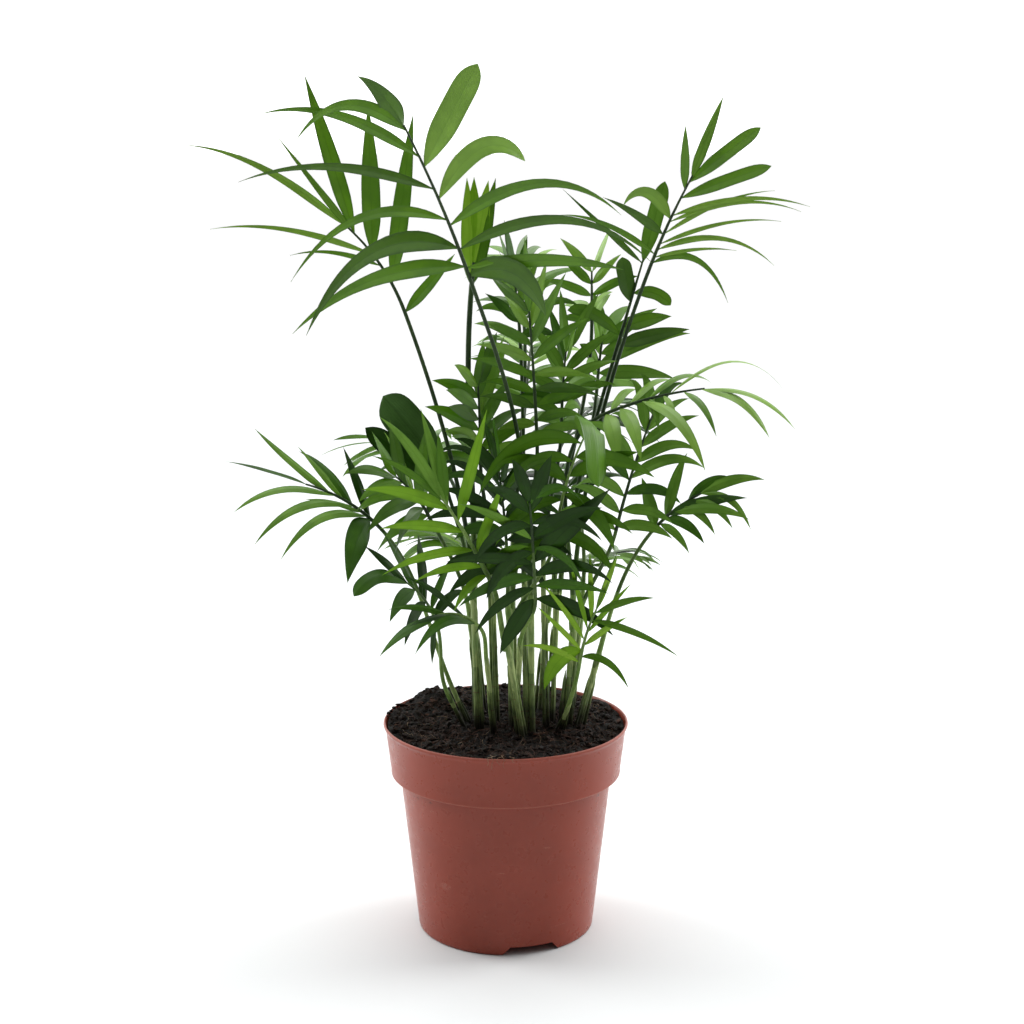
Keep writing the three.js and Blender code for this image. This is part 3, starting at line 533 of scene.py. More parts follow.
class Draft:
    """Vertices and faces gathered for one piece, each face with the number of its finish."""

    GROOVE_SHARPNESS = 6

    def __init__(self) -> None:
        """Starts with nothing."""
        self.points: list[np.ndarray] = []
        self.faces: list[Face] = []
        self.finishes: list[int] = []
        self.places: list[np.ndarray] = []
        self.count = 0

    def add(
        self,
        points: np.ndarray,
        faces: Iterable[Face],
        finish: int | Sequence[int] = 0,
        places: np.ndarray | None = None,
    ) -> None:
        """Adds a patch.

        Args:
            points: Its vertices, one row each, in metres.
            faces: Its faces, numbered from the patch's own first vertex.
            finish: The number of its finish, or one for each face.
            places: Where each vertex lies across and along the surface.
        """
        base = self.count
        patch = [tuple(base + i for i in corners) for corners in faces]
        self.points.append(points)
        self.faces.extend(patch)
        self.finishes.extend([finish] * len(patch) if isinstance(finish, int) else finish)
        self.places.append(np.zeros((len(points), 2)) if places is None else places)
        self.count += len(points)

    def tube(
        self,
        centres: Sequence[Vector],
        radii: Sequence[float],
        sides: int,
        hint: Vector,
        finish: int | Sequence[int] = 0,
        groove: float = 0.0,
    ) -> None:
        """Adds a closed tube along a line of points.

        Args:
            centres: The line's points, in metres.
            radii: The radius at each, in metres.
            sides: How many sides the tube has.
            hint: The way that its first seam looks.
            finish: The number of its finish, or one for each stretch from point to point.
            groove: How deep a channel runs on the side that looks the hint's way, as a share of the radius.
        """
        rings = []
        places = []
        run = 0.0
        across = hint
        for i, (centre, radius) in enumerate(zip(centres, radii)):
            ahead = (centres[min(i + 1, len(centres) - 1)] - centres[max(i - 1, 0)]).normalized()
            across = square_to(across, ahead)
            other = ahead.cross(across)
            run += (centre - centres[max(i - 1, 0)]).length
            for k in range(sides):
                turn = 2 * math.pi * k / sides
                dent = 1 - groove * max(math.cos(turn), 0.0) ** self.GROOVE_SHARPNESS
                rings.append(centre + (across * math.cos(turn) + other * math.sin(turn)) * radius * dent)
                places.append((k / sides, run))
        stretches = len(centres) - 1
        last = stretches * sides
        ends = [tuple(reversed(range(sides))), tuple(range(last, last + sides))]
        faces = ring_faces(stretches, sides) + ends
        if isinstance(finish, int):
            finish = [finish] * stretches
        numbers = [number for number in finish for _ in range(sides)]
        self.add(np.array(rings), faces, [*numbers, finish[0], finish[-1]], np.array(places))

    def piece(
        self, name: str, materials: Sequence[bpy.types.Material] = (), sharp: float = 60.0
    ) -> bpy.types.Object:
        """Makes the object.

        Args:
            name: The piece's name.
            materials: The finishes, in the order of their numbers.
            sharp: Edges over this angle, in degrees, stay crisp.

        Returns:
            The object, linked to the scene, with its origin at the frame's.
        """
        mesh = bpy.data.meshes.new(name)
        mesh.from_pydata(np.concatenate(self.points).tolist(), [], self.faces)
        mesh.polygons.foreach_set("material_index", self.finishes)
        layer = mesh.uv_layers.new(name="places")
        corners = np.zeros(len(mesh.loops), dtype=np.int32)
        mesh.loops.foreach_get("vertex_index", corners)
        layer.data.foreach_set("uv", np.concatenate(self.places)[corners].astype(np.float32).ravel())
        for material in materials:
            mesh.materials.append(material)
        mesh.shade_smooth()
        mesh.set_sharp_from_angle(angle=math.radians(sharp))
        mesh.validate()
        thing = bpy.data.objects.new(name, mesh)
        bpy.context.scene.collection.objects.link(thing)
        return thing


def lathe(profile: Profile, sides: int) -> tuple[np.ndarray, list[Face]]:
    """Turns a closed profile round the upright axis.

    Args:
        profile: Radius and height in millimetres, in order; the ends lie on the axis.
        sides: How many sides the turned form has.

    Returns:
        The vertices in metres and the faces.
    """
    inner = profile[1:-1]
    angles = np.linspace(0, 2 * math.pi, sides, endpoint=False)
    rings = [
        np.column_stack([r * np.cos(angles), r * np.sin(angles), np.full(sides, z)])
        for r, z in inner
    ]
    poles = np.array([[0, 0, profile[0][1]], [0, 0, profile[-1][1]]])
    points = np.concatenate([*rings, poles]) * MM
    first, last = len(points) - 2, len(points) - 1
    top = (len(inner) - 1) * sides
    faces: list[Face] = []
    for k in range(sides):
        n = (k + 1) % sides
        faces.append((first, n, k))
        faces.append((last, top + k, top + n))
        faces.extend((row + k, row + n, row + sides + n, row + sides + k) for row in range(0, top, sides))
    return points, faces


def cut(body: bpy.types.Object, tools: Sequence[bpy.types.Object], operation: str) -> None:
    """Cuts or joins tools into a body and removes them.

    Args:
        body: The object that changes.
        tools: Closed objects to cut with, or to join.
        operation: DIFFERENCE, UNION or INTERSECT.
    """
    for tool in tools:
        modifier = body.modifiers.new(operation.lower(), "BOOLEAN")
        modifier.operation = operation
        modifier.solver = "EXACT"
        modifier.object = tool
    bpy.context.view_layer.update()
    depsgraph = bpy.context.evaluated_depsgraph_get()
    done = bpy.data.meshes.new_from_object(body.evaluated_get(depsgraph))
    body.modifiers.clear()
    body.data = done
    for tool in tools:
        bpy.data.objects.remove(tool)


def settle(piece: bpy.types.Object, slot: str, nodes: Sequence[str] = ()) -> None:
    """Puts a finished piece on the body, hides the frame's nodes that it replaces and logs its finish.

    Args:
        piece: The piece.
        slot: The record's material slot.
        nodes: The frame's nodes that it replaces.
    """
    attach(piece, BODY)
    if nodes:
        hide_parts(*nodes)
    LOG.info("%s: %d faces, finish %s", piece.name, len(piece.data.polygons), slot)


# ---------------------------------------------------------------- finishes


class Bench:
    """A material's or world's node tree, with short ways to add and join what a finish needs."""

    def __init__(self, owner: bpy.types.Material | bpy.types.World, shader: str = "Principled BSDF") -> None:
        """Starts with the owner's plain shader.

        Args:
            owner: The new material or world.
            shader: The name of the shader that it starts with.
        """
        owner.use_nodes = True
        self.owner = owner
        self.nodes = owner.node_tree.nodes
        self.shader = self.nodes[shader]
        self.base = self.nodes.new("ShaderNodeTexCoord")

    def feed(self, target: Socket, source: Socket | float | Point) -> None:
        """Joins a socket to another, or sets it.

        Args:
            target: The socket that takes the value.
            source: Another socket, a number, a colour or a vector.
        """
        if isinstance(source, Socket):
            self.owner.node_tree.links.new(source, target)
        elif target.type == "RGBA":
            target.default_value = (*source, 1.0)
        else:
            target.default_value = source

    def fill(self, node: bpy.types.Node, inputs: dict[str, Socket | float | Point]) -> None:
        """Feeds a node's inputs, named with underscores for spaces."""
        for key, source in inputs.items():
            self.feed(node.inputs[key.replace("_", " ")], source)

    def set(self, **inputs: Socket | float | Point) -> None:
        """Feeds the shader's own inputs, named with underscores for spaces."""
        self.fill(self.shader, inputs)

    def add(self, kind: str, **inputs: Socket | float | Point) -> bpy.types.Node:
        """Adds a node.

        Args:
            kind: What it is, without the words that all shader nodes begin with.
            inputs: What goes into it, named with underscores for spaces.

        Returns:
            The node.
        """
        node = self.nodes.new(f"ShaderNode{kind}")
        self.fill(node, inputs)
        return node

    def where(self, stretch: Point = (1, 1, 1), system: str = "Object") -> Socket:
        """Coordinates, stretched: Object in metres, UV as places on the surface, Generated as directions."""
        return self.add("Mapping", Scale=stretch, Vector=self.base.outputs[system]).outputs["Vector"]

    def axis(self, letter: str, where: Socket) -> Socket:
        """One of a vector socket's parts, X, Y or Z."""
        return self.add("SeparateXYZ", Vector=where).outputs[letter]

    def speckle(self, where: Socket, scale: float, detail: float = 3.0, rough: float = 0.55) -> Socket:
        """Soft random patches.

        Args:
            where: Coordinates.
            scale: Patches in a unit length.
            detail: How many finer layers.
            rough: How strong those are.

        Returns:
            A value socket round 0.5.
        """
        return self.add("TexNoise", Vector=where, Scale=scale, Detail=detail, Roughness=rough).outputs["Fac"]

    def between(
        self, value: Socket, low: float, high: float, out_low: float = 0.0, out_high: float = 1.0
    ) -> Socket:
        """Maps a value from one range to another, held at both ends.

        Args:
            value: The value.
            low: Where its range begins.
            high: Where its range ends.
            out_low: What the beginning becomes.
            out_high: What the end becomes.

        Returns:
            The mapped value.
        """
        node = self.add(
            "MapRange", Value=value, From_Min=low, From_Max=high, To_Min=out_low, To_Max=out_high
        )
        node.interpolation_type = "SMOOTHSTEP"
        return node.outputs["Result"]

    def blend(self, share: Socket, first: Socket | Colour, second: Socket | Colour) -> Socket:
        """Mixes two colours.

        Args:
            share: How much of the second there is.
            first: The first colour.
            second: The second colour.

        Returns:
            The mixed colour.
        """
        node = self.add("Mix")
        node.data_type = "RGBA"
        self.feed(node.inputs["Factor"], share)
        self.feed(node.inputs[6], first)
        self.feed(node.inputs[7], second)
        return node.outputs[2]

    def sum(self, operation: str, first: Socket, second: Socket | float = 0.0) -> Socket:
        """Works out a value from two.

        Args:
            operation: Such as ADD or MULTIPLY.
            first: The first value.
            second: The second value, if the operation takes one.

        Returns:
            The result.
        """
        node = self.add("Math")
        node.operation = operation
        self.feed(node.inputs[0], first)
        self.feed(node.inputs[1], second)
        return node.outputs[0]

    def relief(self, height: Socket, depth: float, strength: float, over: Socket | None = None) -> Socket:
        """Fine relief from a height value.

        Args:
            height: The height, from 0 to 1.
            depth: What a height of 1 stands for, in metres.
            strength: How much of it shows.
            over: A coarser relief that it lies on.

        Returns:
            The normal socket.
        """
        node = self.add("Bump", Distance=depth, Strength=strength, Height=height)
        if over is not None:
            self.feed(node.inputs["Normal"], over)
        return node.outputs["Normal"]


def material_bench(name: str) -> Bench:
    """A bench with a new material."""
    return Bench(bpy.data.materials.new(name))


@dataclass(frozen=True)
class LeafFinish:
    """Leaflet skin: two greens in soft patches, fine veins along it and a waxy gloss."""

    name: str
    light: Colour
    deep: Colour
    roughness: float = 0.34
    veins: float = 9.0
    gloss: float = 0.36

    def make(self) -> bpy.types.Material:
        """Builds the material.

        Returns:
            The material.
        """
        bench = material_bench(self.name)
        patches = bench.between(bench.speckle(bench.where(), 45.0), 0.38, 0.62)
        streaks = bench.speckle(bench.where((26.0, 60.0, 1.0), "UV"), 1.0, 2.0)
        place_across = bench.axis("X", bench.where(system="UV"))
        off_midrib = bench.sum("ABSOLUTE", bench.sum("SUBTRACT", place_across, 0.5))
        inner = bench.between(off_midrib, 0.0, 0.05, 0.4, 1.0)
        outer = bench.between(off_midrib, 0.28, 0.5, 1.0, 0.0)
        bright = bench.sum("MULTIPLY", bench.sum("MULTIPLY", inner, outer), bench.sum("ADD", patches, 0.35))
        tint = bench.blend(bright, self.deep, self.light)
        along = bench.where((1.0, 4.0, 1.0), "UV")
        wave = bench.add("TexWave", Vector=along, Scale=self.veins / 2, Distortion=0.6, Detail_Scale=2.0)
        ribs = wave.outputs["Fac"]
        veins = bench.between(bench.sum("MULTIPLY", ribs, streaks), 0.1, 0.62, 0.0, 0.3)
        rough = bench.between(streaks, 0.3, 0.7, self.roughness - 0.05, self.roughness + 0.12)
        grain = bench.speckle(bench.where(), 500.0, 1.0)
        skin = bench.relief(grain, 0.00002, 0.15, bench.relief(ribs, 0.00008, 0.25))
        colour = bench.blend(veins, tint, self.light)
        bench.set(Base_Color=colour, Roughness=rough, Normal=skin, Specular_IOR_Level=self.gloss)
        return bench.owner


@dataclass(frozen=True)
class StalkFinish:
    """Stalk or cane skin: streaks along it, darker flecks, a dull gloss, and between two heights a dark foot
    that is partly earth and partly painted shade near the soil.
    """

    name: str
    light: Colour
    deep: Colour
    roughness: float = 0.45
    fleck: float = 0.3
    earth_and_shade_heights: Span | None = None
    earth_and_shade: Colour = (0.014, 0.013, 0.008)

    def make(self) -> bpy.types.Material:
        """Builds the material.

        Returns:
            The material.
        """
        bench = material_bench(self.name)
        streaks = bench.speckle(bench.where((1400.0, 1400.0, 90.0)), 1.0, 4.0, 0.6)
        clouds = bench.speckle(bench.where(), 70.0, 3.0)
        specks = bench.speckle(bench.where((900.0, 900.0, 500.0)), 1.0, 2.0)
        bright = bench.between(bench.sum("MULTIPLY", streaks, clouds), 0.12, 0.36)
        tint = bench.blend(bright, self.deep, self.light)
        brown = tuple(0.35 * channel for channel in self.deep)
        skin = bench.blend(bench.between(specks, 0.62, 0.72, 0.0, self.fleck), tint, brown)
        # Painted shade and earth: below these heights the skin darkens towards the soil, where the crown's
        # shade falls.
        if self.earth_and_shade_heights is not None:
            ragged = bench.sum("ADD", bench.axis("Z", bench.where()), bench.sum("MULTIPLY", clouds, 0.02))
            above_earth_and_shade = bench.between(ragged, *(height * MM for height in self.earth_and_shade_heights))
            skin = bench.blend(above_earth_and_shade, self.earth_and_shade, skin)
        rough = bench.between(clouds, 0.3, 0.7, self.roughness - 0.08, self.roughness + 0.12)
        fibres = bench.relief(streaks, 0.00025, 0.6)
        bench.set(Base_Color=skin, Roughness=rough, Normal=fibres, Specular_IOR_Level=0.2)
        return bench.owner


@dataclass(frozen=True)
class Scuff:
    """A small mark on the pot: its middle and size in millimetres."""

    at: Point
    size: Point


@dataclass(frozen=True)
class PlasticFinish:
    """Moulded terracotta-coloured plastic: even colour, faint mottling, scuffs, stains, painted highlights
    along the band's lower edge and the lip, and a satin skin.
    """

    name: str = "pot_plastic"
    base: Colour = (0.262, 0.044, 0.023)
    deep: Colour = (0.24, 0.04, 0.0205)
    scuff_and_highlight: Colour = (0.36, 0.12, 0.085)
    stain: Colour = (0.03, 0.012, 0.009)
    roughness: float = 0.3
    highlight_heights: tuple[float, ...] = (79.75, 104.75)
    scuffs: tuple[Scuff, ...] = (
        Scuff((20, -47, 56), (2.6, 6, 0.8)),
        Scuff((-2, -49, 44), (2.4, 6, 0.7)),
        Scuff((-29, -38, 33), (4.0, 6, 2.2)),
        Scuff((-40, -33, 70), (1.2, 6, 0.9)),
        Scuff((-35, -38, 71), (1.6, 6, 0.9)),
        Scuff((27, -38, 13), (6.5, 8, 0.35)),
    )
    stains: tuple[Scuff, ...] = (
        Scuff((-42, -29, 75), (0.9, 6, 0.8)),
        Scuff((-35.6, -37, 75.5), (1.1, 6, 0.7)),
        Scuff((44.5, -26, 75), (0.9, 6, 0.9)),
        Scuff((-44.6, -4, 12), (1.4, 4, 5)),
    )

    def make(self) -> bpy.types.Material:
        """Builds the material.

        Returns:
            The material.
        """
        bench = material_bench(self.name)
        plain = bench.where()
        mottle = bench.between(bench.speckle(plain, 38.0, 1.5), 0.3, 0.7)
        tint = bench.blend(mottle, self.deep, self.base)
        marks = self.marks(bench, self.scuffs)
        threads = bench.speckle(bench.where((30.0, 30.0, 700.0)), 1.0, 2.0)
        hairlines = bench.between(threads, 0.7, 0.78, 0.0, 0.08)
        # Real scuffs and scratch hairlines, and the painted edge highlights, all pale towards the same
        # colour.
        wear_and_highlights = bench.sum("ADD", bench.sum("ADD", marks, hairlines), self.edge_highlights(bench))
        colour = bench.blend(self.marks(bench, self.stains), bench.blend(wear_and_highlights, tint, self.scuff_and_highlight), self.stain)
        haze = bench.speckle(plain, 240.0, 3.0)
        satin = bench.between(haze, 0.3, 0.7, self.roughness - 0.04, self.roughness + 0.07)
        rough = bench.sum("ADD", satin, bench.sum("MULTIPLY", wear_and_highlights, 0.25))
        waves = bench.relief(bench.speckle(plain, 24.0, 1.0), 0.0006, 0.25)
        grain = bench.relief(bench.speckle(plain, 1800.0, 2.0), 0.00001, 0.25, waves)
        skin = bench.relief(marks, 0.00015, 0.6, grain)
        bench.set(Base_Color=colour, Roughness=rough, Normal=skin, Specular_IOR_Level=0.32)
        return bench.owner

    def edge_highlights(self, bench: Bench) -> Socket:
        """The painted highlights: paler lines along the band's lower edge and the lip, where the rounded
        edges catch the light.

        Args:
            bench: Where they are worked out.

        Returns:
            A value from 0 to 1.
        """
        up = bench.axis("Z", bench.where())
        total: Socket | float = 0.0
        for height in self.highlight_heights:
            gap = bench.sum("ABSOLUTE", bench.sum("SUBTRACT", up, height * MM))
            total = bench.sum("ADD", bench.between(gap, 0.0002, 0.0005, 0.45, 0.0), total)
        return total

    def marks(self, bench: Bench, scuffs: Sequence[Scuff]) -> Socket:
        """Where the pot has any of some marks.

        Args:
            bench: Where they are worked out.
            scuffs: The marks.

        Returns:
            A value from 0 to 1.
        """
        total: Socket | float = 0.0
        broken = bench.between(bench.speckle(bench.where(), 1500.0, 2.0), 0.42, 0.6)
        for scuff in scuffs:
            reach = tuple(1 / (size * MM) for size in scuff.size)
            away = bench.add("VectorMath")
            away.operation = "DISTANCE"
            bench.feed(away.inputs[0], bench.where(reach))
            bench.feed(away.inputs[1], tuple(a * MM * b for a, b in zip(scuff.at, reach)))
            total = bench.sum("ADD", bench.between(away.outputs["Value"], 0.5, 1.0, 0.75, 0.0), total)
        return bench.sum("MULTIPLY", total, broken)


@dataclass(frozen=True)
class PeatFinish:
    """Damp peat: near black, with brown crumbs and a rough, barely glossy skin."""

    name: str
    dark: Colour = (0.004, 0.0035, 0.0028)
    brown: Colour = (0.018, 0.0105, 0.007)

    def make(self) -> bpy.types.Material:
        """Builds the material.

        Returns:
            The material.
        """
        bench = material_bench(self.name)
        clods = bench.speckle(bench.where(), 260.0, 6.0, 0.7)
        grit = bench.speckle(bench.where(), 1300.0, 4.0, 0.7)
        share = bench.between(bench.sum("MULTIPLY", clods, grit), 0.2, 0.4)
        colour = bench.blend(share, self.dark, self.brown)
        rough = bench.between(clods, 0.35, 0.65, 0.6, 0.95)
        skin = bench.relief(grit, 0.0004, 0.8, bench.relief(clods, 0.0012, 0.8))
        bench.set(Base_Color=colour, Roughness=rough, Normal=skin, Specular_IOR_Level=0.12)
        return bench.owner


@dataclass(frozen=True)
class StudioFinish:
    """Matt white studio paper, greyer and a little cooler within about a metre of the plant and white again
    beyond two and a half: painted shade that deepens the shadow round the pot, with a cool tint against the
    pink of light bounced off the pot.
    """

    name: str = "studio_white"
    white: Colour = (0.86, 0.86, 0.86)
    shade_grey: Colour = (0.672, 0.69, 0.692)
    shade_grey_to: Span = (1.0, 2.5)

    def make(self) -> bpy.types.Material:
        """Builds the material.

        Returns:
            The material.
        """
        bench = material_bench(self.name)
        away = bench.add("VectorMath")
        away.operation = "LENGTH"
        bench.feed(away.inputs[0], bench.where())
        # Painted shade: the paper is greyer near the plant so that the shadow round the pot shows deeper.
        outside_shade_grey = bench.between(away.outputs["Value"], *self.shade_grey_to)
        colour = bench.blend(outside_shade_grey, self.shade_grey, self.white)
        bench.set(Base_Color=colour, Roughness=0.9, Specular_IOR_Level=0.1)
        return bench.owner


# ---------------------------------------------------------------- pot


@dataclass
class Pot:
    """The turned plastic pot, its wide rim band, three drain channels and holes. Millimetres.

    Each round is the way out and up of the outer profile's points from a corner of it.
    """

    height: float = 105.0
    rim_radius: float = 60.0
    foot_radius: float = 42.5
    collar_depth: float = 25.5
    collar_radius: float = 56.2
    body_radius: float = 51.8
    shoulder: float = 1.2
    wall: float = 1.2
    floor: float = 1.5
    sides: int = 160
    notch_bearings: tuple[float, ...] = (17.0, 137.0, 257.0)
    notch_foot: float = 29.0
    notch_roof: float = 21.0
    notch_height: float = 4.5
    notch_inner: float = 26.0
    notch_outer: float = 48.0
    drain_radius: float = 3.5
    drain_at: float = 33.0
    drain_sides: int = 32
    crisp: float = 34.0
    foot_round: Profile = ((-0.6, 0), (0.2, 0.15), (0.7, 0.6), (0.95, 1.4), (1.1, 3))
    neck_round: Profile = ((-0.35, -4), (-0.02, -0.5), (0.1, -0.1), (0.5, 0.12))
    collar_round: Profile = ((-0.8, -0.3), (-0.2, -0.15), (0.15, 0.15), (0.22, 0.5), (0.1, 0.95))
    lip_round: Profile = ((-1.1, -3.2), (-0.75, -2.2), (-0.25, -1.6), (0, -0.9), (-0.15, -0.25), (-0.6, 0))

    @property
    def collar_foot(self) -> float:
        """Height of the rim band's lower edge."""
        return self.height - self.collar_depth

    def outside(self) -> Profile:
        """The outer profile with its small rounds.

        Returns:
            Radius and height, from the middle of the underside to the lip.
        """
        corners = (
            (self.foot_radius, 0, self.foot_round),
            (self.body_radius, self.collar_foot - self.shoulder, self.neck_round),
            (self.collar_radius, self.collar_foot, self.collar_round),
            (self.rim_radius, self.height, self.lip_round),
        )
        return [(0, 0), *((radius + out, z + up) for radius, z, rounds in corners for out, up in rounds)]

    def inside(self) -> Profile:
        """The inner profile.

        Returns:
            Radius and height, from the lip down to the middle of the floor.
        """
        step = self.collar_foot + self.wall
        return [
            (self.rim_radius - 0.9, self.height - 0.15),
            (self.rim_radius - 1.25, self.height - 0.8),
            (self.collar_radius - self.wall, step),
            (self.body_radius - self.wall, step - self.shoulder),
            (self.foot_radius, 4),
            (self.foot_radius - 1, self.floor),
            (0, self.floor),
        ]

    def turned(self, name: str, profile: Profile) -> bpy.types.Object:
        """Turns a form as an object of its own.

        Args:
            name: Its name.
            profile: Its radii and heights.

        Returns:
            The object.
        """
        draft = Draft()
        draft.add(*lathe(profile, self.sides))
        return draft.piece(name)

    def channel(self, bearing: float, margin: float) -> bpy.types.Object:
        """The form of a drain channel.

        Args:
            bearing: How far it is turned round the pot, in degrees.
            margin: How much wider it is made all round.

        Returns:
            The object to cut or join with.
        """
        foot = self.notch_foot / 2 + margin
        roof = self.notch_roof / 2 + margin
        top = self.notch_height + margin
        section = [(-foot, -1), (foot, -1), (foot, 0), (roof, top), (-roof, top), (-foot, 0)]
        near = -self.notch_inner + margin
        far = -self.notch_outer
        points = np.array([(x, y, z) for y in (far, near) for x, z in section]) * MM
        count = len(section)
        faces = [((k + 1) % count, k, count + k, count + (k + 1) % count) for k in range(count)]
        faces.append(tuple(range(count)))
        faces.append(tuple(reversed(range(count, 2 * count))))
        turn = np.array(Matrix.Rotation(math.radians(bearing), 3, "Z"))
        draft = Draft()
        draft.add(points @ turn.T, faces)
        return draft.piece("channel")

    def hole(self, bearing: float) -> bpy.types.Object:
        """The form of the drain hole through a channel's roof.

        Args:
            bearing: How far it is turned round the pot, in degrees.

        Returns:
            The object to cut with.
        """
        centre = Matrix.Rotation(math.radians(bearing), 3, "Z") @ Vector((0, -self.drain_at, 0))
        draft = Draft()
        ends = [mm(centre + UP * height) for height in (self.notch_height - 3, self.notch_height + 4)]
        draft.tube(ends, [self.drain_radius * MM] * 2, self.drain_sides, EAST)
        return draft.piece("hole")

    def build(self) -> bpy.types.Object:
        """Turns the shell, roofs its channels and cuts them out.

        Returns:
            The pot.
        """
        outside = self.outside()
        pot = self.turned("pot_shell", [*outside, *self.inside()])
        covers = []
        for bearing in self.notch_bearings:
            cover = self.channel(bearing, self.wall)
            cut(cover, [self.turned("form", [*outside, (0, self.height)])], "INTERSECT")
            covers.append(cover)
        cut(pot, covers, "UNION")
        cut(pot, [self.channel(bearing, 0.0) for bearing in self.notch_bearings], "DIFFERENCE")
        cut(pot, [self.hole(bearing) for bearing in self.notch_bearings], "DIFFERENCE")
        pot.data.shade_smooth()
        pot.data.set_sharp_from_angle(angle=math.radians(self.crisp))
        return pot

    def dress(self, pot: bpy.types.Object) -> None:
        """Gives the pot its plastic and puts it in the frame.

        Args:
            pot: The built pot.
        """
        pot.data.materials.clear()
        pot.data.materials.append(PlasticFinish().make())
        settle(pot, "pot", ["pot"])


# ---------------------------------------------------------------- soil


@dataclass(frozen=True)
class Bank:
    """Soil heaped towards the edge: its height, where it begins and ends, and how it slants with X."""

    height: float
    begin: float
    end: float
    slant: float

    def at(self, x: float, y: float) -> float:
        """Its height over a place."""
        return self.height * smooth_step(self.begin, self.end, y + self.slant * x)


@dataclass(frozen=True)
class Bumps:
    """Unevenness of the soil: its size and height, where it is read, and how its finer layers join in."""

    size: float
    height: float
    level: float
    fade: float
    step: float
    layers: int

    def at(self, x: float, y: float) -> float:
        """Its height over a place."""
        place = Vector((x / self.size, y / self.size, self.level))
        return noise.fractal(place, self.fade, self.step, self.layers) * self.height


